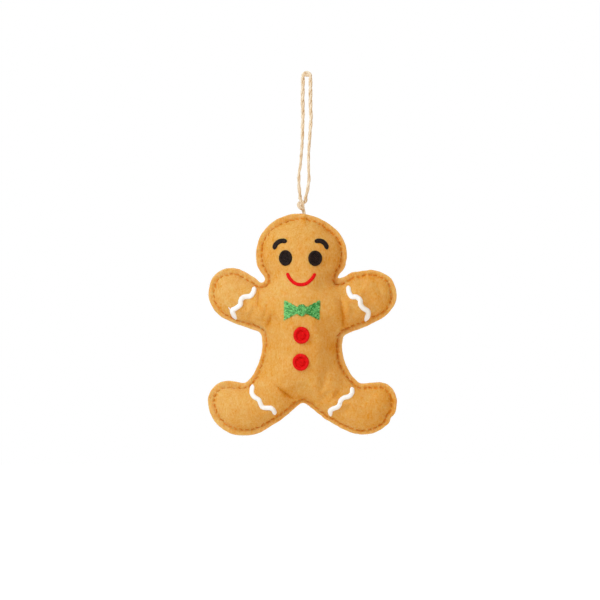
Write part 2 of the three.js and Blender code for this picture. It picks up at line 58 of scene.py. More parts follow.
# Cut outline of the felt in millimetres: corner, drop below the head's top, and rounding
HEAD_X, HEAD_HALF_WIDTH, HEAD_HALF_HEIGHT = -0.9, 24.2, 21.8
HEAD_END_RIGHT, HEAD_END_LEFT = 124.8, 122
RIGHT_SIDE = [
    (26.3, 31.1, 0.8), (44.8, 28.4, 14.5), (54.4, 50.1, 15.3), (38.2, 58, 200), (21.7, 65, 3.1),
    (19.6, 79.9, 23.9), (30.6, 90.3, 4.2), (51, 88.6, 10.7), (48.7, 132.3, 19.7), (11.3, 108.5, 60),
]
CROTCH = (0.2, 100.6, 2.1)
LEFT_SIDE = [
    (-19.6, 37.6, 1.1), (-45.7, 21.8, 13), (-52.9, 51.6, 17.1), (-37.6, 57.9, 200), (-21.7, 63.4, 3.7),
    (-21, 80.1, 28.9), (-30.2, 90.3, 3.5), (-52, 86.7, 10.9), (-46.2, 133.8, 19.8), (-12.6, 110.1, 60),
]

# Where the hand-cut edge and the hand-guided seam leave their drawn lines: pattern point, reach, how far in
EDGE_TRIMS = [
    (-48.8, 49.9, 12, 1.02), (-20.9, 34.8, 5, 1.07), (10.7, 2.7, 8, 0.72), (25.8, 117, 12, 0.55),
    (23.2, 19.6, 12, -0.49), (36.6, 29.7, 12, 0.42), (47.7, 51.4, 5, 0.52), (2.3, 102.1, 5, 0.51),
    (-24.6, 17.7, 8, 0.39), (-30.3, 118.3, 5, 0.47), (21.2, 33.3, 3, 0.56), (-21.5, 71, 8, 0.3),
    (-10.9, 108.9, 5, -0.38), (-47.1, 109.4, 12, -0.23), (33.2, 90.1, 5, 0.36), (34.3, 59.7, 5, -0.27),
    (1.5, 0.1, 5, 0.2), (23, 32.5, 3, 0.5), (-23.9, 35, 3, -0.46), (21.8, 29.4, 3, -0.44), (12.1, 109, 3, -0.37),
    (-35.8, 58.5, 3, -0.34), (15.7, 5.9, 3, 0.3), (40.5, 30.3, 3, 0.28), (47.1, 34.7, 3, -0.25),
    (47.4, 108.9, 1.4, 0.75), (49.5, 105, 2.6, -0.35),
]
SEAM_DRIFTS = [
    (17.4, 112.4, 14, -1.04), (-46.4, 91.5, 14, 0.95), (-39.9, 56.9, 14, -0.77), (-22.6, 77.6, 9, -0.87),
    (-37.4, 28.8, 9, 0.81), (-11.2, 2.1, 9, 0.64), (47.7, 51.5, 4, -0.93), (35.5, 117.5, 9, -0.59),
    (45, 32.6, 6, -0.71), (-46.5, 110.5, 6, 0.67), (3.7, 103.1, 6, -0.6), (-24.6, 26.2, 4, 0.7),
    (33.3, 90.1, 9, -0.41), (-22.7, 35.7, 4, -0.53), (18.7, 113.2, 6, 0.42), (-36.5, 89.3, 4, 0.96),
    (18.5, 36.5, 4, 1.2), (-22.7, 35.7, 14, 0.35), (29.6, 61.7, 14, 0.3), (-50.4, 42.3, 6, 0.44),
    (-3.9, 103.6, 4, 0.48), (26.2, 31.1, 4, 0.43), (17.8, 8, 4, 0.39), (39.8, 116.1, 14, 0.2),
    (-24.5, 20, 7, 0.45), (15.3, 9.5, 2.2, 0.5), (1, 2.9, 5, -0.3), (17, 33.2, 3.2, -1.3),
    (-0.5, 101, 8, -0.55),
]
# Where the seam's thread lies slack and thin, or is drawn tight: pattern point, reach, how slack; the seam's
# painted shade is lighter where it is slack
SEAM_SLACK = [
    (-14, 3.5, 8, 0.8), (-22.5, 12, 6, 0.4), (-23.8, 29.5, 4.5, 0.5), (-37, 28.8, 7, 0.5), (-44.5, 31, 5, 0.3),
    (-32, 60, 7, 0.5), (-38, 89.3, 8, 0.85), (-46, 91, 5, 0.5), (-28, 118, 8, 0.4), (25, 116.5, 7, 0.35),
    (23.3, 21.6, 5, 0.3), (17.2, 7.3, 5, -0.6), (-49, 36.2, 4, -0.5), (44, 91, 6, -0.5), (21.1, 70.5, 4, -0.6),
    (-22.5, 74, 10, 0.45), (50, 45, 5, 0.3), (50.5, 102, 6, 0.3), (-36, 90, 4, 0.2),
]
# Painted light and shade on the felt: spots whose colour is painted paler where light falls or a shadow is lifted,
# and deeper where shade falls: pattern point, reach, how much paler
PAINTED_LIGHT_AND_SHADE_SPOTS = [
    (-40, 42, 13, 0.05), (-42, 98, 12, 0.045), (-6, 43, 11, 0.04), (0, 8, 10, 0.015),
    (14, 66, 14, -0.02), (16, 22, 9, -0.02), (38, 105, 13, -0.02), (36, 44, 10, -0.01),
    (21, 65.5, 3.5, 0.17), (20.5, 33.5, 3, 0.1), (-24.5, 62.5, 4, 0.1), (-26, 36, 4, 0.06),
    (50, 102, 6, -0.06), (-49.5, 36, 4.5, -0.06), (21.5, 71, 3, 0.06), (-34, 60, 4, 0.06),
    (-19, 22, 6, -0.03), (-17, 70, 6, -0.03), (-2, 98, 5, -0.04), (17, 70.5, 3, -0.08),
]

# In millimetres: the felt, the gap between the panels, the twine's place and the seam
FELT = 1.4
PANEL_GAP = 0.06
TWINE_X = -1.3
SEAM_INSET = 2.9
STITCH_PITCH = 3.0
# How far the stuffing swells the felt, and how gently it rises from the seam
LOFT = 0.45
SEAM_EASE = 3.0
# Steps of a curve between two points, of a rounded corner and of the head
CURVE_STEPS, CORNER_STEPS, HEAD_STEPS = 16, 12, 60


# Small helpers

def linear(hex_colour):
    """An sRGB hex colour as linear RGBA."""
    channels = [int(hex_colour[i:i + 2], 16) / 255 for i in (1, 3, 5)]
    return [c / 12.92 if c <= 0.04045 else ((c + 0.055) / 1.055) ** 2.4 for c in channels] + [1]


def add_node(tree, kind, links=None, **settings):
    """A node with its values set, and links from {socket: other node's socket}."""
    made = tree.nodes.new(kind)
    for key, value in settings.items():
        if key in made.inputs:
            made.inputs[key].default_value = value
        else:
            setattr(made, key, value)
    for socket, source in (links or {}).items():
        tree.links.new(source, made.inputs[socket])
    return made


def link(name, data):
    made = bpy.data.objects.new(name, data)
    scene.collection.objects.link(made)
    return made


def smoothstep(low, high, value):
    t = np.clip((value - low) / (high - low), 0, 1)
    return t * t * (3 - 2 * t)


def at(x, drop):
    """A point of the flat pattern in the frame, in millimetres."""
    return np.array([PATTERN_X + x, PATTERN_TOP - drop])


def evenly(line, spacing):
    """Points at even spacing along an open line of points."""
    along = np.concatenate([[0], np.cumsum(norm(np.diff(line, axis=0), axis=1))])
    wanted = np.linspace(0, along[-1], max(2, round(along[-1] / spacing) + 1))
    return np.column_stack([np.interp(wanted, along, line[:, k]) for k in range(line.shape[1])])


def smooth_line(points, spacing):
    """Points at even spacing along a smooth curve through the given ones."""
    points = np.array(points, float)
    ends = np.vstack([2 * points[0] - points[1], points, 2 * points[-1] - points[-2]])
    t = np.arange(CURVE_STEPS)[:, None] / CURVE_STEPS
    curves = [
        0.5 * (2 * b + (c - a) * t + (2 * a - 5 * b + 4 * c - d) * t ** 2 + (3 * b - a - 3 * c + d) * t ** 3)
        for a, b, c, d in zip(ends, ends[1:], ends[2:], ends[3:])]
    return evenly(np.vstack([*curves, points[-1:]]), spacing)


def soft_noise(points, size, seed):
    return np.array([noise.noise((x / size, seed, z / size)) for x, z in points])


def any_way(rng):
    return Vector((rng.gauss(0, 1), rng.gauss(0, 1), rng.gauss(0, 1)))


def within(rng, most):
    return rng.uniform(-most, most)


def smooth_piece(name, mesh):
    mesh.shade_smooth()
    return link(name, mesh)


# Camera: straight at the front; a pixel's size is in millimetres at the seam's plane

PIXELS, PIXEL = 600, 0.532
FRAME_WIDTH = PIXELS * PIXEL * MM
VIEW_X, VIEW_Z = -0.00356, -0.1186
CAMERA_DISTANCE = 1.2
SENSOR = 36
camera_data = bpy.data.cameras.new("camera")
camera_data.sensor_width = SENSOR
camera_data.lens = SENSOR * CAMERA_DISTANCE / FRAME_WIDTH
camera = link("camera", camera_data)
camera.location = (VIEW_X, -CAMERA_DISTANCE, VIEW_Z)
camera.rotation_euler = (pi / 2, 0, 0)
scene.camera = camera


# Felt outline and the rings that follow it

def outline(spacing):
    """The cut outline, anticlockwise from the front, at even spacing."""
    def head_point(turn):
        angle = radians(90 - turn)
        return (HEAD_X + HEAD_HALF_WIDTH * cos(angle), HEAD_HALF_HEIGHT * (1 - sin(angle)), 0)

    corners = [head_point(HEAD_END_RIGHT), *RIGHT_SIDE, CROTCH, *LEFT_SIDE[::-1], head_point(-HEAD_END_LEFT)]
    place = [at(x, drop) for x, drop, _ in corners]
    reach, half = [0] * len(corners), [0] * len(corners)
    rounded = range(1, len(corners) - 1)
    for i in rounded:
        back, ahead = place[i - 1] - place[i], place[i + 1] - place[i]
        half[i] = acos(back @ ahead / norm(back) / norm(ahead)) / 2
        reach[i] = corners[i][2] / tan(half[i])
    room = [norm(b - a) for a, b in zip(place, place[1:])]
    share = [min(1, r / max(reach[i] + reach[i + 1], 1e-9)) for i, r in enumerate(room)]
    points = [place[0]]
    for i in rounded:
        back, ahead = place[i - 1] - place[i], place[i + 1] - place[i]
        back, ahead = back / norm(back), ahead / norm(ahead)
        used = reach[i] * min(share[i - 1], share[i])
        radius = used * tan(half[i])
        middle = (back + ahead) / norm(back + ahead)
        centre = place[i] + middle * radius / sin(half[i])
        start, end = place[i] + back * used - centre, place[i] + ahead * used - centre
        turn = atan2(start[0] * end[1] - start[1] * end[0], start @ end)
        first = atan2(start[1], start[0])
        for step in range(CORNER_STEPS + 1):
            angle = first + turn * step / CORNER_STEPS
            points.append(centre + radius * np.array([cos(angle), sin(angle)]))
    points.append(place[-1])
    for step in range(1, HEAD_STEPS):
        x, drop, _ = head_point(-HEAD_END_LEFT + (HEAD_END_LEFT + HEAD_END_RIGHT) * step / HEAD_STEPS)
        points.append(at(x, drop))
    return evenly_closed(np.array(points)[::-1], spacing)


def evenly_closed(ring, spacing):
    return evenly(np.vstack([ring, ring[:1]]), spacing)[:-1]


def inwards(ring):
    tangent = np.roll(ring, -1, axis=0) - np.roll(ring, 1, axis=0)
    tangent /= norm(tangent, axis=1)[:, None]
    return np.column_stack([-tangent[:, 1], tangent[:, 0]])


# Waver of cutting by hand: how far, over what length, and the noise's seed
CUT_WAVER = ((0.3, 9, 2.5), (0.16, 2.6, 4.5))


def inset_ring(inset, spacing):
    """A ring that follows the outline inside it; near the edge it keeps the waver of the cut."""
    waver = sum(far * soft_noise(RIM, size, seed) for far, size, seed in CUT_WAVER)
    depth = inset + waver * max(0, 1 - inset / SEAM_INSET)
    return evenly_closed(RIM + inwards(RIM) * depth[:, None], spacing)


def distance_to(points, ring):
    """How far each point is from a closed ring."""
    best = np.full(len(points), np.inf)
    for a, e in zip(ring, np.roll(ring, -1, axis=0) - ring):
        t = np.clip((points - a) @ e / (e @ e), 0, 1)
        best = np.minimum(best, norm(points - a - t[:, None] * e, axis=1))
    return best


def is_inside(points, ring):
    inside = np.zeros(len(points), bool)
    for a, b in zip(ring, np.roll(ring, -1, axis=0)):
        if a[1] == b[1]:
            continue
        crosses = (a[1] > points[:, 1]) != (b[1] > points[:, 1])
        inside ^= crosses & (points[:, 0] < a[0] + (points[:, 1] - a[1]) / (b[1] - a[1]) * (b[0] - a[0]))
    return inside


def nudges(points, table):
    """The sum at each point of a table's round spots, each fading out over its reach."""
    total = np.zeros(len(points))
    for x, drop, reach, amount in table:
        total += amount * np.exp(-((points - at(x, drop)) ** 2).sum(1) / reach ** 2)
    return total


RIM_STEP = 0.5
RIM = outline(RIM_STEP)
RIM = evenly_closed(RIM + inwards(RIM) * nudges(RIM, EDGE_TRIMS)[:, None], RIM_STEP)


# Felt panels: a dense flat net, swelled by the stuffing, pulled in by the seam and creased where the limbs turn

EVEN_ROWS = sqrt(0.75)
NET_CLEARANCE = 0.6
INSIDE_ONLY, SAME_POINT = 1, 1e-5


def felt_net(insets, ring_spacing, grid_spacing, creases=()):
    """Points and triangles of the flat pattern: rings along its edge, rows along creases and a grid between."""
    rings = [inset_ring(inset, ring_spacing) for inset in insets]
    low, high = RIM.min(0), RIM.max(0)
    columns = np.arange(low[0], high[0], grid_spacing)
    rows = np.arange(low[1], high[1], grid_spacing * EVEN_ROWS)
    grid = np.array([(x + grid_spacing / 2 * (i % 2), z) for i, z in enumerate(rows) for x in columns])
    clearance = grid_spacing * NET_CLEARANCE
    beside = [np.empty((0, 2))]
    for line in creases:
        along = np.gradient(line, axis=0) / CREASE_STEP
        across = np.column_stack([-along[:, 1], along[:, 0]])
        beside += [line + across * offset for offset in CREASE_ROWS]
        clear = CREASE_ROWS[-1] + clearance
        grid = grid[np.min([((grid - p) ** 2).sum(1) for p in line], axis=0) > clear ** 2]
    inner = np.vstack([*beside, grid])
    deep = is_inside(inner, RIM) & (distance_to(inner, RIM) > insets[-1] + clearance)
    points = np.vstack([*rings, inner[deep]])
    rim_count = len(rings[0])
    rim_edges = [(i, (i + 1) % rim_count) for i in range(rim_count)]
    found = geometry.delaunay_2d_cdt([Vector(p) for p in points], rim_edges, [], INSIDE_ONLY, SAME_POINT)
    return np.array([tuple(p) for p in found[0]]), np.array(found[2])


MOST_ROUNDS, SOLVED = 1500, 1e-10


def swelled(points, triangles, held):
    """The height that an even pressure gives a skin held flat where held is true."""
    count = len(points)
    i, j, k = triangles.T
    weights, area = [], np.zeros(count)
    for a, b, c in ((i, j, k), (j, k, i), (k, i, j)):
        to_b, to_c = points[b] - points[a], points[c] - points[a]
        cross = np.abs(to_b[:, 0] * to_c[:, 1] - to_b[:, 1] * to_c[:, 0])
        weights.append((b, c, (to_b * to_c).sum(1) / cross / 2))
        area += np.bincount(a, cross / 6, count)
    first, second, stiff = (np.concatenate(w) for w in zip(*weights))

    def pull(u):
        flow = stiff * (u[first] - u[second])
        result = np.bincount(first, flow, count) - np.bincount(second, flow, count)
        result[held] = u[held]
        return result

    load = np.where(held, 0, area)
    u, residual = np.zeros(count), load.copy()
    step, left = residual.copy(), residual @ residual
    for _ in range(MOST_ROUNDS):
        pulled = pull(step)
        gain = left / (step @ pulled)
        u += gain * step
        residual -= gain * pulled
        still_left = residual @ residual
        if still_left < SOLVED * (load @ load):
            break
        step = residual + step * still_left / left
        left = still_left
    return LOFT * (np.sqrt(4 * np.maximum(u, 0) + SEAM_EASE ** 2) - SEAM_EASE)


CREASE_STEP = 0.5
CREASE_ROWS = (0, -0.35, 0.35, -0.75, 0.75, -1.25, 1.25, -1.8, 1.8)
# A crease is a narrow valley in a wider one, and runs out a little past its ends
CREASE_RUN_OUT = 0.12
NARROW_SHARE, WIDE_SHARE, NARROW_POWER, TIMES_WIDER = 0.65, 0.35, 1.5, 4
# Creases: points of the pattern, width, where along it the crease is deepest, depth in front and at the back
CREASES = [
    ([(20.6, 46.5), (20.9, 50), (21.4, 55), (21.6, 58.6)], 0.7, 0.75, 2.4, 1.3),
    ([(-22.9, 40), (-23.2, 45.5), (-23.7, 51)], 0.7, 0.5, 1.4, 0.5),
    ([(-18.4, 47.5), (-19.3, 52), (-20.4, 56)], 0.8, 0.6, 1.1, 0.6),
    ([(-15.9, 53), (-16.9, 56), (-17.7, 58.5), (-18.8, 61.6)], 0.8, 0.6, 1.7, 1.3),
    ([(-13.4, 91.6), (-9, 95.3), (-4.4, 98.5)], 0.65, 0.5, 2.5, 1.5),
    ([(20, 93.4), (14.4, 100)], 1.0, 0.5, 0.8, 1.0),
]
crease_lines = [smooth_line([at(x, drop) for x, drop in crease[0]], CREASE_STEP) for crease in CREASES]


def crease_depth(points, face):
    """How deep the creases lie at each point, for the front (0) or the back (1)."""
    depth = np.zeros(len(points))
    for line, (_, wide, peak, *deep) in zip(crease_lines, CREASES):
        gaps = np.array([((points - p) ** 2).sum(1) for p in line])
        near, share = np.sqrt(gaps.min(0)), gaps.argmin(0) / (len(line) - 1)
        run = np.where(share < peak, peak, 1 - peak) + CREASE_RUN_OUT
        narrow = NARROW_SHARE * np.exp(-(near / wide) ** NARROW_POWER)
        valley = narrow + WIDE_SHARE * np.exp(-(near / (TIMES_WIDER * wide)) ** 2)
        depth += deep[face] * (1 - ((share - peak) / run) ** 2) * valley
    return depth


# How uneven the seam's stitches are, and what changes slowly along it; a slack stitch shows thinner
STITCH_SLIP, STITCH_HALF, STITCH_STRAY, STITCH_PULL, STITCH_SLANT = 0.35, (0.7, 1.1), 0.25, (0.6, 1.1), 0.4
SLOW_STRAY, SLOW_PULL, SLACK_THINS = 0.5, 0.7, 0.55
# The stitches: middle along the seam line, half length, step sideways, pull, share of the thickness, slant
SEAM_STEP = 0.25
seam_line = inset_ring(SEAM_INSET, SEAM_STEP)
seam_inward = inwards(seam_line)
stitch_count = round(len(seam_line) * SEAM_STEP / STITCH_PITCH)
stitch_room = len(seam_line) * SEAM_STEP / stitch_count
dice = random.Random(31)
SEAM = np.array([
    ((n + 0.5) * stitch_room + within(dice, STITCH_SLIP), dice.uniform(*STITCH_HALF),
     within(dice, STITCH_STRAY) + SLOW_STRAY * noise.noise((n / 5, 1.5, 0)),
     dice.uniform(*STITCH_PULL) + SLOW_PULL * noise.noise((n / 6, 7.5, 0)), 1, 0)
    for n in range(stitch_count)])
SEAM[:, 5] = [within(dice, STITCH_SLANT) for _ in SEAM]
stitch_places = seam_line[(SEAM[:, 0] / SEAM_STEP).astype(int) % len(seam_line)]
SEAM[:, 2] += nudges(stitch_places, SEAM_DRIFTS)
SEAM[:, 3] *= 1 - nudges(stitch_places, SEAM_SLACK)
SEAM[:, 4] -= SLACK_THINS * nudges(stitch_places, SEAM_SLACK)

# What a stitch does to the felt: holes at its ends, a bed under it, a hump before the next
SEAM_REACH = 2.5
HOLE_DEPTH, HOLE_AREA = 0.35, 0.2
BED_DEPTH, BED_WIDTH, BED_ENDS = 0.42, 0.6, np.array([0.45, -0.2])
HUMP_HEIGHT, HUMP_WIDTH, HUMP_ENDS = 0.18, 0.7, np.array([0.15, 0.5])


def seam_pull(points, from_rim):
    """How deep the stitches draw the felt in."""
    depth = np.zeros(len(points))
    for n in np.flatnonzero(np.abs(from_rim - SEAM_INSET) < SEAM_REACH):
        nearest = np.argmin(((seam_line - points[n]) ** 2).sum(1))
        stitch = min(int(nearest * SEAM_STEP / stitch_room), stitch_count - 1)
        middle, half, shift, pull, _, slant = SEAM[stitch]
        ahead = nearest * SEAM_STEP - middle
        along, across = abs(ahead), from_rim[n] - SEAM_INSET - shift - slant * ahead / half
        holes = exp(-((along - half) ** 2 + across ** 2) / HOLE_AREA)
        bed = exp(-(across / BED_WIDTH) ** 2) * smoothstep(*(half + BED_ENDS), along)
        hump = exp(-(across / HUMP_WIDTH) ** 2) * smoothstep(*(half + HUMP_ENDS), along)
        depth[n] = pull * (HOLE_DEPTH * holes + BED_DEPTH * bed) - HUMP_HEIGHT * hump
    return depth


FINE_INSETS = [0, 0.3, 0.7, 1.2, 1.7, 2.1, 2.5, 2.9, 3.3, 3.7, 4.2, 4.8, 5.5]
FINE_SPACING = 0.8
SEWN_FLAT = 0.01
flat, flat_triangles = felt_net(FINE_INSETS, RIM_STEP, FINE_SPACING, crease_lines)
from_rim = distance_to(flat, RIM)
from_cut = distance_to(flat, inset_ring(0, RIM_STEP))
from_seam = from_rim - SEAM_INSET - nudges(flat, SEAM_DRIFTS)
swell = swelled(flat, flat_triangles, from_seam <= SEWN_FLAT)
drawn_in = seam_pull(flat, from_rim)


# Cloth simulation: each panel as cloth pinned at the seam, a little larger than its place, pressed out from inside

CLOTH_INSETS = [0, 1.5, SEAM_INSET, 4.6]
CLOTH_SPACING, CLOTH_SEWN = 2.0, 0.05
CLOTH_LUMPS, CLOTH_LUMP_SIZE = 0.3, 7
CLOTH_SCALE, CLOTH_FRAMES = 20, 30
CLOTH_EXCESS, CLOTH_PRESSURE = 0.05, 1.5
MOST_MOVE = 1.2


def settled(seed):
    """How far the stuffing and the felt's excess move a panel at each point of the fine net."""
    points, triangles = felt_net(CLOTH_INSETS, CLOTH_SPACING, CLOTH_SPACING)
    held = distance_to(points, RIM) <= SEAM_INSET + CLOTH_SEWN
    lumps = CLOTH_LUMPS * soft_noise(points, CLOTH_LUMP_SIZE, seed)
    start = swelled(points, triangles, held) + np.where(held, 0, lumps)
    mesh = bpy.data.meshes.new("felt_cloth")
    size = MM * CLOTH_SCALE
    skin = [(x * size, -y * size, z * size) for (x, z), y in zip(points, start)]
    mesh.from_pydata(skin, [], triangles.tolist())
    cloth = link("felt_cloth", mesh)
    cloth.vertex_groups.new(name="sewn").add([int(n) for n in np.flatnonzero(held)], 1, "REPLACE")
    simulation = cloth.modifiers.new("felt", "CLOTH")
    simulation.point_cache.frame_end = CLOTH_FRAMES
    simulation.collision_settings.use_collision = False
    felt = simulation.settings
    felt.quality = 8
    felt.air_damping = 2
    felt.tension_stiffness = felt.compression_stiffness = 30
    felt.shear_stiffness = 15
    felt.bending_stiffness = 6
    felt.vertex_group_mass = "sewn"
    felt.use_pressure = True
    felt.uniform_pressure_force = CLOTH_PRESSURE
    felt.shrink_min = -CLOTH_EXCESS
    felt.effector_weights.gravity = 0
    for step in range(1, CLOTH_FRAMES + 1):
        scene.frame_set(step)
    moved = cloth.evaluated_get(bpy.context.evaluated_depsgraph_get()).data
    change = np.array([-vertex.co.y / size for vertex in moved.vertices]) - start
    bpy.data.objects.remove(cloth)
    scene.frame_set(1)
    tree = BVHTree.FromPolygons([(x, z, 0) for x, z in points], triangles.tolist())
    result = np.zeros(len(flat))
    for n, (x, z) in enumerate(flat):
        place, _, face, _ = tree.find_nearest((x, z, 0))
        corners = [Vector((*points[i], 0)) for i in triangles[face]]
        values = [Vector((change[i], k == 1, k == 2)) for k, i in enumerate(triangles[face])]
        result[n] = geometry.barycentric_transform(place, *corners, *values)[0]
    return MOST_MOVE * np.tanh((result - np.median(change[~held])) / MOST_MOVE)


# Lumps of the stuffing: height, size, step of the seed; how far inside the seam each relief is full
LUMPS = ((0.45, 13, 0), (0.22, 5.5, 5))
LUMPS_FROM, CREASES_FROM, MOVES_FROM = 6, 2, 3
# Rounding of the cut edge, waver of the brim outside the seam, bulge over the sewn-in twine
EDGE_ROUNDING, EDGE_DROP = 0.5, 0.35
BRIM_WAVER, BRIM_SIZE, BRIM_SEED, BRIM_MIDDLE, BRIM_WIDTH = 0.14, 4, 9, 1.3, 1.1
TWINE_BULGE, BULGE_WIDTH, BULGE_ENDS = 0.75, 1.4, (-9, -5)
# Painted light and shade in the felt's colour: a painted sheen paler at the cut edge, painted shade deeper in
# dimples, in creases, along the seam and where the twine enters it
EDGE_PAINTED_SHEEN, EDGE_PAINTED_SHEEN_WIDTH = 0.06, 2.4
DIMPLE_PAINTED_SHADE, CREASE_PAINTED_SHADE, GROOVE_PAINTED_SHADE, TWINE_PAINTED_SHADE = 0.12, 0.06, 0.03, 0.1
SEAM_SHADE_OUTSIDE, SEAM_SHADE_INSIDE = 1.2, 2.2


def felt_panel(name, side, seed):
    """One felt panel as a closed sheet; side is -1 for the front and 1 for the back."""
    def inside_seam(far):
        return smoothstep(SEAM_INSET, SEAM_INSET + far, from_rim)

    lumps = inside_seam(LUMPS_FROM) * sum(high * soft_noise(flat, size, seed + step) for high, size, step in LUMPS)
    edge = EDGE_DROP * np.clip(1 - from_cut / EDGE_ROUNDING, 0, 1) ** 2
    brim = BRIM_WAVER * soft_noise(flat, BRIM_SIZE, seed + BRIM_SEED)
    brim *= np.exp(-((from_rim - BRIM_MIDDLE) / BRIM_WIDTH) ** 2)
    creased = crease_depth(flat, int(side > 0)) * inside_seam(CREASES_FROM)
    over_twine = np.exp(-((flat[:, 0] - TWINE_X) / BULGE_WIDTH) ** 2)
    over_twine *= smoothstep(*BULGE_ENDS, flat[:, 1] - PATTERN_TOP)
    lining_side = PANEL_GAP / 2 + TWINE_BULGE * over_twine
    outer = lining_side + FELT + swell + lumps + brim - edge - drawn_in - creased
    # Painted shade along the seam's groove, painted sheen at the cut edge, painted shade in dimples and creases,
    # and the painted spots of light and shade
    seam_painted_shade = np.exp(-(from_seam / np.where(from_seam < 0, SEAM_SHADE_OUTSIDE, SEAM_SHADE_INSIDE)) ** 2)
    painted_light_and_shade = EDGE_PAINTED_SHEEN * np.clip(1 - from_cut / EDGE_PAINTED_SHEEN_WIDTH, 0, 1)
    painted_light_and_shade -= DIMPLE_PAINTED_SHADE * drawn_in + CREASE_PAINTED_SHADE * creased
    tight = 1 - nudges(flat, SEAM_SLACK)
    painted_light_and_shade += nudges(flat, PAINTED_LIGHT_AND_SHADE_SPOTS) - seam_painted_shade * (GROOVE_PAINTED_SHADE * tight + TWINE_PAINTED_SHADE * over_twine)
    outer += settled(seed) * inside_seam(MOVES_FROM)
    inner = np.maximum(outer - FELT, lining_side)
    mesh = bpy.data.meshes.new(name)
    skin = [(x * MM, side * y * MM, z * MM) for (x, z), y in zip(flat, outer)]
    mesh.from_pydata(skin, [], flat_triangles.tolist())
    sheet = bmesh.new()
    sheet.from_mesh(mesh)
    # The felt's painted light and shade go into an attribute that its material reads
    number, painted_layer = sheet.verts.layers.int.new("number"), sheet.verts.layers.float.new("painted_light_and_shade")
    for vertex in sheet.verts:
        vertex[number] = vertex.index
        vertex[painted_layer] = painted_light_and_shade[vertex.index]
    lining = bmesh.ops.extrude_face_region(sheet, geom=sheet.faces[:], use_keep_orig=True)["geom"]
    for vertex in lining:
        if isinstance(vertex, bmesh.types.BMVert):
            vertex.co.y = side * inner[vertex[number]] * MM
    sheet.verts.layers.int.remove(number)
    bmesh.ops.recalc_face_normals(sheet, faces=sheet.faces[:])
    sheet.to_mesh(mesh)
    sheet.free()
    return smooth_piece(name, mesh)


front_felt = felt_panel("front_felt", side=-1, seed=3.1)
back_felt = felt_panel("back_felt", side=1, seed=7.7)


# Thread work: every stitch is its own strand, laid on the felt as seen from the front

front_tree, back_tree = (
    BVHTree.FromObject(panel, bpy.context.evaluated_depsgraph_get()) for panel in (front_felt, back_felt))


def on_felt(x, drop):
    """Where the eye meets the front felt over a point of the pattern, and its normal there."""
    px, pz = at(x, drop) * MM
    place, normal, _, _ = front_tree.ray_cast(camera.location, Vector((px, 0, pz)) - camera.location)
    return place, normal


def strands(name, lines, radius, sides=1, painted_glint=0.0):
    """Round threads along lines as one mesh; the fourth number of a point is its share of the radius."""
    curve = bpy.data.curves.new(name, "CURVE")
    curve.dimensions = "3D"
    curve.bevel_depth = radius * MM
    curve.bevel_resolution = sides
    curve.use_fill_caps = True
    for line in lines:
        spline = curve.splines.new("POLY")
        spline.points.add(len(line) - 1)
        for point, (*place, share) in zip(spline.points, line):
            point.co, point.radius = (*place, 1), share
    drawn = link(name, curve)
    mesh = bpy.data.meshes.new_from_object(drawn.evaluated_get(bpy.context.evaluated_depsgraph_get()))
    bpy.data.objects.remove(drawn)
    mesh.name = name
    # A painted glint: an attribute that paints the piece's thread colour lighter or darker
    if painted_glint:
        painted_glint_layer = mesh.attributes.new("painted_glint", "FLOAT", "POINT")
        painted_glint_layer.data.foreach_set("value", np.full(len(mesh.vertices), painted_glint))
    return smooth_piece(name, mesh)


STITCH_ARCH = ((0, 0), (0.06, 0.5), (0.2, 0.86), (0.5, 1), (0.8, 0.86), (0.94, 0.5), (1, 0))
STITCH_SINK, STITCH_END = 0.12, 0.6


def bridge(start, end, rise):
    """One stitch between two points of the pattern, arched over the felt, its ends sunk into it."""
    line = []
    for t, share in STITCH_ARCH:
        place, normal = on_felt(*((1 - t) * a + t * b for a, b in zip(start, end)))
        height = share * (rise + STITCH_SINK) - STITCH_SINK
        line.append((*(place + normal * height * MM), 1 if 0 < t < 1 else STITCH_END))
    return line


SATIN_PITCH, SATIN_UNEVEN = 0.2, 0.06
# How blunt a tip is, and the shares of the rise that any stitch has and that its width adds
SATIN_TIP, LEAST_RISE, WIDTH_RISE = 0.1, 0.55, 0.45


def satin_stroke(points, width, rise, seed, tips):
    """Satin stitches side by side across a line that narrows to a tip over the given length at each end."""
    rng = random.Random(seed)
    line = smooth_line(points, SATIN_PITCH)
    along = np.gradient(line, axis=0)
    along /= norm(along, axis=1)[:, None]
    half = width / 2
    stitches = []
    for i, (middle, (tx, ty)) in enumerate(zip(line, along)):
        to_tip = min(i * SATIN_PITCH / tips[0], (len(line) - 1 - i) * SATIN_PITCH / tips[1], 1)
        reach = half * sqrt(max(SATIN_TIP, 1 - (1 - to_tip) ** 2)) + within(rng, SATIN_UNEVEN)
        across = np.array([-ty, tx]) * reach
        stitches.append(bridge(middle - across, middle + across, rise * (LEAST_RISE + WIDTH_RISE * reach / half)))
    return stitches


def satin_ring(x, drop, width, height, border, rise, seed):
    """Satin stitches from the inside to the outside of an oval's border."""
    rng = random.Random(seed)
    count = round(pi * (width + height) / 2 / SATIN_PITCH)
    middle, outer = np.array([x, drop]), np.array([width / 2, height / 2])
    stitches = []
    for i in range(count):
        turn = 2 * pi * i / count
        ray = np.array([cos(turn), sin(turn)])
        edge = outer + within(rng, SATIN_UNEVEN)
        stitches.append(bridge(middle + ray * (edge - border), middle + ray * edge, rise))
    return stitches


# Rows of a fill: how their ends are found and vary, and where a row is cut into stitches
FILL_STEP, FILL_UNEVEN, LEAST_STEPS = 0.1, 0.15, 3
FIRST_CUT, CUT_MOVE, CUT_SLIP, SHORTEST, RISES = 0.35, 0.4, 0.2, 0.4, (0.65, 1.2)


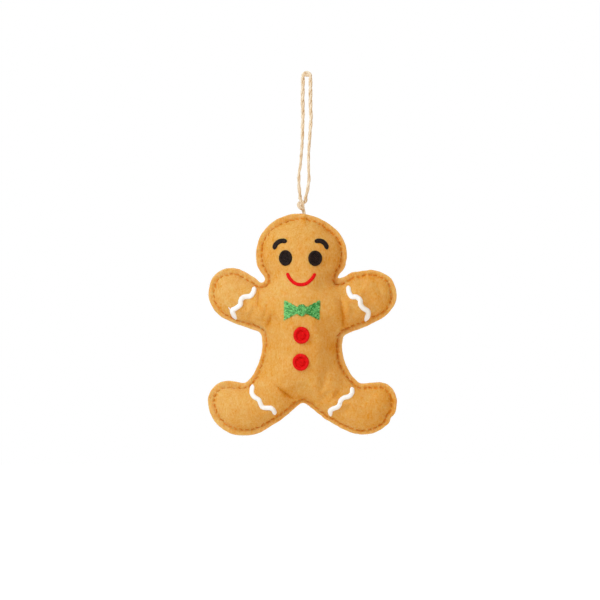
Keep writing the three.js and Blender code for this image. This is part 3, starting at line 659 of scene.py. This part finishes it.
def fill_rows(inside, low, high, angle, pitch, length, rise, seed, slant=0.12):
    """Rows of short stitches over an area, each row cut a part of a stitch later than the last."""
    rng = random.Random(seed)
    along = np.array([cos(angle), sin(angle)])
    across = np.array([-along[1], along[0]])
    low, high = np.array(low), np.array(high)
    middle, reach = (low + high) / 2, norm(high - low) / 2
    stitches = []
    for row in range(-round(reach / pitch), round(reach / pitch) + 1):
        base = middle + across * row * pitch
        steps = [s for s in np.arange(-reach, reach, FILL_STEP) if inside(base + along * s)]
        if len(steps) < LEAST_STEPS:
            continue
        start = steps[0] + within(rng, FILL_UNEVEN)
        stop = steps[-1] + FILL_STEP + within(rng, FILL_UNEVEN)
        first = start + length * (FIRST_CUT + CUT_MOVE * (row % 3)) + within(rng, CUT_SLIP)
        cuts = [start, *np.arange(first, stop - SHORTEST, length), stop]
        for a, b in zip(cuts, cuts[1:]):
            tilt = across * within(rng, slant)
            stitches.append(bridge(base + along * a - tilt, base + along * b + tilt, rise * rng.uniform(*RISES)))
    return stitches


def in_oval(x, drop, width, height):
    return lambda p: ((p[0] - x) / (width / 2)) ** 2 + ((p[1] - drop) / (height / 2)) ** 2 < 1


def in_polygon(corners):
    ring = np.array(corners, float)
    return lambda p: bool(is_inside(np.array([p]), ring)[0])


# Radius of each thread, and how much lighter or darker a piece's thread colour is painted: a painted glint on the
# lit wing and painted shade on the other
THREADS = {"black_thread": 0.19, "red_thread": 0.19, "green_thread": 0.23, "white_thread": 0.25}
PAINTED_GLINTS = {"bow_tie_left_wing": 0.09, "bow_tie_right_wing": -0.09}
embroidered = []


def embroider(node, slot, stitches):
    """One piece of embroidery in the place of a CAD node."""
    piece = strands(node + "_stitches", stitches, THREADS[slot], painted_glint=PAINTED_GLINTS.get(node, 0))
    embroidered.append((piece, slot, node))


# Face: oval eyes with a raised border, curved brows and a smile
EYE_INSET = 2.2
for side, x, drop, width, height in (("left", -8.9, 23.62, 6.75, 8.15), ("right", 6.8, 23.83, 7.15, 8.05)):
    ring = satin_ring(x, drop, width, height, border=1.4, rise=0.7, seed=11)
    embroider(f"{side}_eye_border", "black_thread", ring)
    low, high = (x - width / 2, drop - height / 2), (x + width / 2, drop + height / 2)
    oval = in_oval(x, drop, width - EYE_INSET, height - EYE_INSET)
    rows = fill_rows(oval, low, high, angle=0.5, pitch=0.26, length=2.4, rise=0.25, seed=12)
    embroider(f"{side}_eye_fill", "black_thread", rows)
BROWS = {
    "left": ((1.5, 1.3), [(-14.95, 18.9), (-14.15, 16.5), (-12.4, 15), (-10.6, 14.5), (-8.25, 14.8)]),
    "right": ((1.4, 1.7), [(6.65, 14.8), (9.1, 14.5), (10.8, 15), (12.4, 16.5), (13.2, 18.9)]),
}
for side, (tips, points) in BROWS.items():
    stitches = satin_stroke(points, width=2.35, rise=0.5, seed=13, tips=tips)
    embroider(f"{side}_eyebrow", "black_thread", stitches)
SMILE = [
    (-7.95, 31.8), (-6.9, 34.15), (-5.1, 36.2), (-3.2, 37.4), (-1.2, 37.85), (1, 37.65), (3, 36.7), (5.3, 34.45),
    (6.75, 32)]
stitches = satin_stroke(SMILE, width=1.7, rise=0.5, seed=14, tips=(0.7, 0.7))
embroider("mouth", "red_thread", stitches)

# Bow tie: two wings and a knot of short fill stitches; the wings' colours carry a painted glint and painted shade
TIE_ROWS = {"pitch": 0.38, "length": 0.95, "slant": 0.3}
# Each wing's turn of the rows and its corners
TIE_WINGS = {
    "left": (0.3, [
        (-9.6, 46.1), (-6.2, 47.8), (-2.9, 49.6), (-1.2, 49.9), (-1.2, 53), (-3, 53.2), (-6.4, 54.9),
        (-9.7, 56.6)]),
    "right": (-0.3, [
        (9.35, 46.1), (9.1, 51), (8.95, 56.6), (5.6, 54.9), (2.2, 53.3), (0.8, 53), (0.8, 49.9), (2.2, 49.8),
        (5.7, 47.9)]),
}
for side, (angle, corners) in TIE_WINGS.items():
    low, high = np.min(corners, axis=0), np.max(corners, axis=0)
    rows = fill_rows(in_polygon(corners), low, high, angle, rise=0.45, seed=15, **TIE_ROWS)
    embroider(f"bow_tie_{side}_wing", "green_thread", rows)
oval = in_oval(-0.3, 51.4, width=4.8, height=6.3)
rows = fill_rows(oval, (-3, 48.2), (2.4, 54.6), angle=1.2, rise=0.75, seed=16, **TIE_ROWS)
embroider("bow_tie_knot", "green_thread", rows)

# Buttons: a raised satin ring, a low bed of stitches inside it and a smaller raised middle
BUTTON_ROWS = {"pitch": 0.28, "length": 2.0, "seed": 18}
for place, x, drop in (("upper", -0.43, 64.74), ("lower", -0.8, 79.0)):
    ring = satin_ring(x, drop, width=8.5, height=8.9, border=1.6, rise=1.15, seed=17)
    embroider(f"{place}_button_border", "red_thread", ring)
    low, high = (x - 2.8, drop - 3), (x + 2.8, drop + 3)
    bed, raised = in_oval(x, drop, width=5.4, height=5.8), in_oval(x, drop, width=3.4, height=3.7)
    rows = fill_rows(bed, low, high, angle=0.3, rise=0.05, **BUTTON_ROWS)
    rows += fill_rows(raised, low, high, angle=1.1, rise=0.6, **BUTTON_ROWS)
    embroider(f"{place}_button_fill", "red_thread", rows)

# Icing: wavy white lines across the arms and legs, each with its two tips' lengths
ICING_RISE = 0.5
ICING_WIDTHS = {"arm": 2.45, "leg": 2.25}
ICING = {
    "left_arm": ((1.3, 3.6), [
        (-25.6, 39.3), (-25.9, 41.6), (-27.6, 43.8), (-31.3, 44.5), (-32.8, 46.4), (-33, 48.5),
        (-35.4, 50.4), (-37.2, 51.5), (-36.5, 53.8), (-35.2, 55.9)]),
    "right_arm": ((1.5, 2.8), [
        (24.4, 38.7), (24.9, 42.1), (26.4, 44.2), (28.8, 44.4), (30.7, 46), (31, 48.4),
        (32.4, 50.3), (34.8, 51.9), (34.9, 54.1), (33.5, 56.9)]),
    "left_leg": ((2, 1.4), [
        (-26.3, 91.3), (-26.9, 95.1), (-25.6, 97.5), (-23.2, 99), (-22.2, 101.3), (-20.8, 103.2),
        (-16.8, 103.5), (-15.2, 104.8), (-14.6, 106.7)]),
    "right_leg": ((1.4, 2), [
        (26.3, 92.6), (26.5, 95.2), (24.9, 97.2), (22, 98.1), (20.4, 99.6), (19.8, 101.6),
        (18.6, 103), (16.6, 103.7), (14.9, 104.9), (15.2, 107.4)]),
}
LOOSE_END = ((-39.2, 49.8), (-36.8, 52.6))
for limb, (tips, points) in ICING.items():
    stitches = satin_stroke(points, ICING_WIDTHS[limb[-3:]], ICING_RISE, seed=19, tips=tips)
    if limb == "left_arm":
        stitches.append(bridge(*LOOSE_END, ICING_RISE))
    embroider(f"{limb}_icing", "white_thread", stitches)


# Seam thread: single stitches round the edge, lying in the beds that they pull

SEAM_THREAD = 0.27
WELL_OUTSIDE = 0.1
SEAM_ARCH = ((-1.15, -0.6), (-0.85, -0.02), (-0.4, 0.16), (0, 0.2), (0.4, 0.16), (0.85, -0.02), (1.15, -0.6))


def seam_stitches(tree, side):
    stitches = []
    for middle, half, shift, _, thickness, slant in SEAM:
        stitch = []
        for share, rise in SEAM_ARCH:
            step = int((middle + share * half) / SEAM_STEP) % len(seam_line)
            x, z = (seam_line[step] + seam_inward[step] * (shift + slant * share)) * MM
            place, normal, _, _ = tree.ray_cast((x, side * WELL_OUTSIDE, z), (0, -side, 0))
            stitch.append((*(place + normal * rise * MM), thickness))
        stitches.append(stitch)
    return stitches


front_seam = strands("front_seam_stitches", seam_stitches(front_tree, -1), SEAM_THREAD)
back_seam = strands("back_seam_stitches", seam_stitches(back_tree, 1), SEAM_THREAD)


# Nap: fine wool ends that lie loose on the felt and stand off its cut edge

NAP_RADIUS, NAP_COUNT = 0.04, 2600
# Only a share of the fibres stays this near the cut edge
NAP_EDGE, NAP_AT_EDGE = 0.5, 0.3
NAP_LENGTH, NAP_LIFT, NAP_CURL, NAP_ROOT, NAP_TAPER = (0.6, 1.6), (0.05, 0.3), 0.5, 0.05, 0.5


def nap(panel, seed):
    rng = random.Random(seed)
    fibres = []
    for _ in range(NAP_COUNT):
        pick = rng.randrange(len(flat))
        if from_cut[pick] < NAP_EDGE and rng.random() > NAP_AT_EDGE:
            continue
        start = panel.data.vertices[pick]
        way = start.normal.cross(any_way(rng)).normalized()
        turn = start.normal.cross(way) * within(rng, NAP_CURL)
        length, lift = rng.uniform(*NAP_LENGTH), rng.uniform(*NAP_LIFT)
        fibre = []
        for t in (0, 0.33, 0.66, 1):
            offset = way * t * length + turn * t * t * length + start.normal * (lift * t - NAP_ROOT)
            fibre.append((*(start.co + offset * MM), 1 - NAP_TAPER * t))
        fibres.append(fibre)
    return fibres


front_nap = strands("front_felt_nap", nap(front_felt, seed=41), NAP_RADIUS, sides=0)
back_nap = strands("back_felt_nap", nap(back_felt, seed=43), NAP_RADIUS, sides=0)


# Stuffing: wads of loose fibre inside the felt

WAD_SMOOTHINGS = 6
# How far a wad keeps inside its solid, and the depth and size of its lumps
WAD_INSET, WAD_LUMPS, WAD_LUMP_SIZE = 0.7, 0.5, 3


def wad(node):
    """A lumpy wad in the place of a CAD solid, a little smaller so that the felt covers it."""
    solid = bpy.data.objects[node]
    lump = bmesh.new()
    lump.from_mesh(solid.data)
    lump.transform(solid.matrix_world)
    bmesh.ops.remove_doubles(lump, verts=lump.verts[:], dist=0.01 * MM)
    bmesh.ops.subdivide_edges(lump, edges=lump.edges[:], cuts=1, use_grid_fill=True)
    bmesh.ops.triangulate(lump, faces=lump.faces[:])
    for _ in range(WAD_SMOOTHINGS):
        bmesh.ops.smooth_vert(
            lump, verts=lump.verts[:], factor=0.5, use_axis_x=True, use_axis_y=True, use_axis_z=True)
    bmesh.ops.recalc_face_normals(lump, faces=lump.faces[:])
    lump.normal_update()
    for vertex in lump.verts:
        dent = WAD_LUMPS * abs(noise.noise(vertex.co / (WAD_LUMP_SIZE * MM)))
        vertex.co -= vertex.normal * (WAD_INSET + dent) * MM
    mesh = bpy.data.meshes.new(node + "_wad")
    lump.to_mesh(mesh)
    lump.free()
    return smooth_piece(node + "_wad", mesh)


STUFFED = ("head", "torso", "left_arm", "right_arm", "left_leg", "right_leg")
wads = {part + "_stuffing": wad(part + "_stuffing") for part in STUFFED}


# Twine: two plies of four yarns each, laid round each other along the route

YARN_RADIUS, YARN_SIDES = 0.41, 2
YARN_UNEVEN, UNEVEN_LENGTH = 0.14, 3
PLY_OFFSET = 0.42
LAY_LENGTH = 11.4
LOOP_STEP, KNOT_STEP = 0.5, 0.4
# Yarns of one ply: how far outward and sideways from its middle, and their share of a parting
YARNS = ((0.13, 0, 1), (0, 0.27, 1), (0, -0.27, 1), (-0.2, 0, 0.4))
LOOP_ROUTE = [
    (-0.75, -64.9), (-0.45, -63.6), (0.35, -60.4), (0.85, -57.2), (1.25, -54), (1.1, -50.8), (1, -47.6),
    (0.95, -41.2), (1.4, -34.9), (1.85, -28.5), (2.3, -22.1), (2.15, -18.9), (2, -12.5), (2, -2.9), (2, -0.3),
    (1.75, 1), (0.9, 1.6), (-0.05, 1.7), (-1, 1.6), (-1.85, 1), (-2.05, -0.3), (-2, -2.9), (-2.15, -12.5),
    (-2, -18.9), (-2.2, -28.5), (-2.4, -34.9), (-2.85, -41.2), (-3.45, -47.6), (-4.05, -50.8), (-4.15, -54),
    (-4.15, -57.2), (-3.85, -60.4), (-3.5, -63.6), (-3.6, -64.9),
]
BIGHT_SPREAD, BIGHT_REACH = 0.5, 2.2
# Spun jute is thick and thin along its length: height in the frame, share of the thickness
THICK_AND_THIN = ((-64, 1), (-60, 0.97), (-50, 0.84), (-39, 0.87), (-28, 1), (-17, 1.12), (-7, 1.14), (2, 1.1))


def yarns(route, spacing, phase, spread_at=inf):
    """The yarns of a twine along a route in millimetres; its plies part where it is folded sharply."""
    line = smooth_line(route, spacing)
    side = Vector((0, 1, 0))
    lines = [[] for _ in range(2 * len(YARNS))]
    for i, (place, tangent) in enumerate(zip(line, np.gradient(line, axis=0))):
        tangent = Vector(tangent).normalized()
        side = (side - tangent * side.dot(tangent)).normalized()
        other = tangent.cross(side)
        spread = BIGHT_SPREAD * exp(-((i * spacing - spread_at) / BIGHT_REACH) ** 2)
        thick = float(np.interp(place[2], *zip(*THICK_AND_THIN)))
        for ply in (0, 1):
            turn = 2 * pi * i * spacing / LAY_LENGTH + pi * ply + phase
            out = side * cos(turn) + other * sin(turn)
            beside = tangent.cross(out)
            for n, (outward, sideways, parting) in enumerate(YARNS):
                uneven = 1 + YARN_UNEVEN * noise.noise((i * spacing / UNEVEN_LENGTH, 5 * ply + 2 * n, phase))
                offset = out * (PLY_OFFSET + spread * parting + outward) + beside * sideways
                lines[len(YARNS) * ply + n].append((*((Vector(place) + offset * thick) * MM), uneven * thick))
    return lines


HAIR_COUNT, HAIR_ROOT, HAIR_LENGTH, HAIR_LEAN = 110, 0.7, (0.6, 1.8), (0.5, 1.6)
# Halves of a hair, outward and along the twine, and its thickness at root, bend and tip
HAIR_HALVES = ((0.4, 0.5), (0.2, 0.6))
HAIR_THICKNESS = (0.16, 0.13, 0.06)


def hairs(route, seed):
    """Loose fibres that stand off a twine."""
    rng = random.Random(seed)
    line = smooth_line(route, LOOP_STEP)
    made = []
    for _ in range(HAIR_COUNT):
        i = rng.randrange(2, len(line) - 3)
        along = Vector(line[i + 1] - line[i]).normalized()
        out = along.cross(any_way(rng)).normalized()
        length, lean = rng.uniform(*HAIR_LENGTH), rng.choice((-1, 1)) * rng.uniform(*HAIR_LEAN)
        hair = [Vector(line[i]) + out * HAIR_ROOT]
        for outward, onward in HAIR_HALVES:
            hair.append(hair[-1] + (out * outward + along * lean * onward) * length / 2)
        made.append([(*(p * MM), share) for p, share in zip(hair, HAIR_THICKNESS)])
    return made


loop_route = [(x, 0, z) for x, z in LOOP_ROUTE]
loop_line = smooth_line(loop_route, 1)
loop_length = norm(np.diff(loop_line, axis=0), axis=1).sum()
bight_at = np.argmax(loop_line[:, 2]) * loop_length / (len(loop_line) - 1)
loop_phase = pi / 2 - 2 * pi * bight_at / LAY_LENGTH
loop_yarns = yarns(loop_route, LOOP_STEP, loop_phase, bight_at) + hairs(loop_route, seed=23)
twine_loop = strands("twine_loop_yarns", loop_yarns, YARN_RADIUS, YARN_SIDES)
# Routes of the knot's twine, and the turn of the lay from one to the next
KNOT_ROUTES = [
    [(-3.6, 0, -64.2), (-3.1, -0.4, -65.4), (-2.3, -0.9, -66.8), (-1.95, -0.7, -68.4), (-1.85, -0.2, -69.8)],
    [(-0.65, 0, -64.2), (-0.5, 0.2, -65.2), (-0.65, 0.6, -66), (-1.5, 1.2, -66.6), (-2.9, 1.3, -66.8),
     (-4, 0.6, -67), (-4.3, -0.6, -67.6), (-4.2, -1.3, -68.4), (-3.6, -1.7, -69.4), (-2.7, -1.4, -70),
     (-2.1, -0.5, -69.9), (-2, 0.4, -69.2)],
    [(-3.9, 0.2, -67.4), (-3.3, -0.3, -68.2), (-2.8, -0.1, -69.4)],
]
KNOT_TURN = 1.3
knot_yarns = [line for n, route in enumerate(KNOT_ROUTES) for line in yarns(route, KNOT_STEP, KNOT_TURN * n)]
twine_knot = strands("twine_knot_yarns", knot_yarns, YARN_RADIUS, YARN_SIDES)
STEM_ROUTE = [
    (-2.1, -0.2, -69.2), (-1.85, 0, -70.4), (-1.5, 0, -72), (-1.3, 0, -73.4), (-1.3, 0, -75.5), (-1.3, 0, -77.2)]
STEM_TURN, STEM_SHARE = 0.6, 0.92
stem_yarns = yarns(STEM_ROUTE, KNOT_STEP, STEM_TURN)
twine_stem = strands("twine_stem_yarns", stem_yarns, YARN_RADIUS * STEM_SHARE, YARN_SIDES)


# Materials

def new_material(name, **values):
    """A material of plain constant surface values, without its colour."""
    material = bpy.data.materials.new(name)
    material.use_nodes = True
    surface = material.node_tree.nodes["Principled BSDF"]
    for socket, value in values.items():
        surface.inputs[socket.replace("_", " ")].default_value = value
    return material, material.node_tree, surface


def texture(tree, size, drawn_out=(1, 1, 1), turn=0, **settings):
    """A noise on Object coordinates with features of about size millimetres, longer where drawn_out is small."""
    place = add_node(tree, "ShaderNodeTexCoord").outputs["Object"]
    laid = add_node(tree, "ShaderNodeMapping", {"Vector": place}, Rotation=(0, turn, 0), Scale=drawn_out).outputs[0]
    return add_node(tree, "ShaderNodeTexNoise", {"Vector": laid}, Scale=1 / (size * MM), **settings).outputs["Fac"]


def ramp(tree, factor, *stops):
    """Colours that follow a value, from stops of a position and a hex colour."""
    made = add_node(tree, "ShaderNodeValToRGB", {"Fac": factor})
    elements = made.color_ramp.elements
    for position, _ in stops[1:-1]:
        elements.new(position)
    for element, (position, colour) in zip(elements, stops):
        element.position, element.color = position, linear(colour)
    return made.outputs["Color"]


def mixed(tree, first, second, share):
    """One value fading into another: the first at a share of 0."""
    made = add_node(tree, "ShaderNodeMix", {2: first, 3: second})
    made.inputs[0].default_value = share
    return made.outputs[0]


def with_attribute(tree, value, name):
    """A value plus a piece's own attribute, which is 0 on pieces without it."""
    own = add_node(tree, "ShaderNodeAttribute", attribute_name=name).outputs["Fac"]
    return add_node(tree, "ShaderNodeMath", {0: value, 1: own}).outputs[0]


def dress(tree, surface, colour, height, strength, depth):
    """Give a surface its colour and a fine relief of some depth in millimetres."""
    tree.links.new(colour, surface.inputs["Base Color"])
    bump = add_node(tree, "ShaderNodeBump", {"Height": height}, Strength=strength, Distance=depth * MM)
    tree.links.new(bump.outputs["Normal"], surface.inputs["Normal"])


def wool_felt():
    """Matted wool blend: dull, paler and darker fibres crossing; painted sheen at the cut edge, painted light and
    shade in spots, painted shade in dimples, creases and along the seam.
    """
    material, tree, surface = new_material(
        "wool_felt", Roughness=0.9, Specular_IOR_Level=0.06, Sheen_Weight=0.06, Sheen_Roughness=0.5,
        Subsurface_Weight=0.4, Subsurface_Radius=(1, 0.5, 0.2), Subsurface_Scale=1.6 * MM)
    blotch, grain = texture(tree, 5, Detail=2), texture(tree, 1, Detail=3, Roughness=0.7)
    fibres = [texture(tree, 0.8, (1, 1, 0.25), turn, Detail=3, Distortion=1.5) for turn in (0.7, -0.6)]
    height = mixed(tree, mixed(tree, *fibres, 0.5), grain, 0.4)
    # The attribute adds painted light and shade to the tone: the darkest stop is reached through painted shade, the
    # palest through painted sheen and light
    depth = with_attribute(tree, mixed(tree, height, blotch, 0.14), "painted_light_and_shade")
    tone = ramp(tree, depth, (0.12, "#b25c08"), (0.37, "#db8a17"), (0.63, "#e8b86c"), (0.78, "#efc884"))
    dress(tree, surface, tone, height, strength=0.6, depth=0.3)
    return material


def spun_thread(name, dark, light, roughness=0.55, specular=0.12):
    """Spun thread: each strand a little lighter or darker than the next, with a fine twist, and a piece's own
    painted glint or shade added to its tone.
    """
    material, tree, surface = new_material(name, Roughness=roughness, Specular_IOR_Level=specular)
    strand = add_node(tree, "ShaderNodeNewGeometry").outputs["Random Per Island"]
    twist = texture(tree, 0.5, Detail=2)
    shade = with_attribute(tree, mixed(tree, strand, twist, 0.35), "painted_glint")
    dress(tree, surface, ramp(tree, shade, (0.15, dark), (0.85, light)), twist, strength=0.2, depth=0.1)
    return material


def jute():
    """Hairy jute: pale straw fibres along each yarn with browner ones between."""
    material, tree, surface = new_material("jute_twine", Roughness=0.85, Specular_IOR_Level=0.15, Sheen_Weight=0.1)
    fibre = texture(tree, 0.8, (1, 1, 0.12), Detail=2, Roughness=0.5)
    tone = ramp(tree, fibre, (0.22, "#d3a66a"), (0.72, "#fae8cb"))
    dress(tree, surface, tone, fibre, strength=0.3, depth=0.2)
    return material


def fibre_fill():
    """Polyester fibre: white, dull and cloudy."""
    material, tree, surface = new_material("polyester_fibre", Roughness=1.0, Sheen_Weight=0.2)
    cloud = texture(tree, 2, Detail=4, Distortion=1)
    tree.links.new(ramp(tree, cloud, (0.3, "#e6e3da"), (0.7, "#fbfaf6")), surface.inputs["Base Color"])
    return material


MATERIALS = {
    "felt": wool_felt(),
    "stuffing": fibre_fill(),
    "seam_thread": spun_thread("cotton_seam_thread", "#cd6815", "#e98b2b", roughness=0.85, specular=0.1),
    "black_thread": spun_thread("black_rayon_thread", "#050302", "#33231b", roughness=0.4, specular=0.08),
    "red_thread": spun_thread("red_rayon_thread", "#d20305", "#f21412"),
    "green_thread": spun_thread("green_rayon_thread", "#187a2a", "#94df88"),
    "white_thread": spun_thread("white_rayon_thread", "#faf1e6", "#fdf6ed", roughness=0.5, specular=0.4),
    "twine": jute(),
}


# Each piece's place in the frame

def belongs(piece, slot, *nodes):
    piece.data.materials.append(MATERIALS[slot])
    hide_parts(*nodes)


for piece, slot, node in (
        (front_felt, "felt", "front_panel"), (front_nap, "felt", "front_panel"),
        (back_felt, "felt", "back_panel"), (back_nap, "felt", "back_panel"),
        (front_seam, "seam_thread", "front_seam_thread"), (back_seam, "seam_thread", "back_seam_thread"),
        *embroidered, *((piece, "stuffing", node) for node, piece in wads.items())):
    belongs(piece, slot, node)
    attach(piece, "figure")

belongs(twine_loop, "twine", "twine_loop")
belongs(twine_knot, "twine", "twine_knot")
belongs(twine_stem, "twine", "twine_stem", "twine_anchor")
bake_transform(twine_loop)
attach(twine_knot, "knot")
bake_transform(twine_stem)


# Stage: a white floor far below the hanging figure, white all round, a soft key light from the upper left

FLOOR_DROP, FLOOR_REACH, FLOOR_GLOW = 0.5, 4, 0.72
AMBIENT = 0.5
AMBIENT_TINT, WHITE = (1, 0.83, 0.6, 1), (1, 1, 1, 1)
FILL_TINT = (1, 0.93, 0.82)
KEY_TINT = (0.79, 1.03, 1.36)
LAMP_AIM = Vector((0, 0, -0.12))


def seen_level(tree, unseen, seen):
    """One value for light that falls on things and another for what the eye, a mirror or glass shows."""
    ray = add_node(tree, "ShaderNodeLightPath")
    shown = ray.outputs["Is Camera Ray"]
    for kind in ("Is Glossy Ray", "Is Transmission Ray"):
        shown = add_node(tree, "ShaderNodeMath", {0: shown, 1: ray.outputs[kind]}, operation="MAXIMUM").outputs[0]
    level = add_node(tree, "ShaderNodeMapRange", {"Value": shown})
    level.inputs["To Min"].default_value, level.inputs["To Max"].default_value = unseen, seen
    return shown, level.outputs[0]


floor_mesh = bpy.data.meshes.new("floor")
corners = [(x * FLOOR_REACH, y * FLOOR_REACH, -FLOOR_DROP) for x, y in ((-1, -1), (1, -1), (1, 1), (-1, 1))]
floor_mesh.from_pydata(corners, [], [(0, 1, 2, 3)])
floor = link("floor", floor_mesh)
white_floor, tree, surface = new_material(
    "white_floor", Roughness=1, Specular_IOR_Level=0, Base_Color=linear("#f4f4f4"), Emission_Color=WHITE)
tree.links.new(seen_level(tree, 0, FLOOR_GLOW)[1], surface.inputs["Emission Strength"])
floor_mesh.materials.append(white_floor)

world = bpy.data.worlds.new("white_studio")
world.use_nodes = True
scene.world = world
tree = world.node_tree
shown, level = seen_level(tree, AMBIENT, 1)
tint = add_node(tree, "ShaderNodeMix", {"Factor": shown}, data_type="RGBA")
tint.inputs["A"].default_value, tint.inputs["B"].default_value = AMBIENT_TINT, WHITE
background = tree.nodes["Background"].inputs
tree.links.new(tint.outputs["Result"], background["Color"])
tree.links.new(level, background["Strength"])


def lamp(name, place, size, power, colour):
    data = bpy.data.lights.new(name, "AREA")
    data.size, data.energy, data.color = size, power, colour
    made = link(name, data)
    made.location = place
    made.rotation_euler = (LAMP_AIM - Vector(place)).to_track_quat("-Z", "Y").to_euler()


lamp("key", (-0.68, -0.75, 0.68), size=0.7, power=11.6, colour=KEY_TINT)
lamp("fill", (0.4, -1, -0.4), size=0.8, power=3.0, colour=FILL_TINT)
lamp("back", (0.75, 0.85, 0.5), size=0.5, power=8.0, colour=KEY_TINT)
scene.view_settings.view_transform = "Standard"
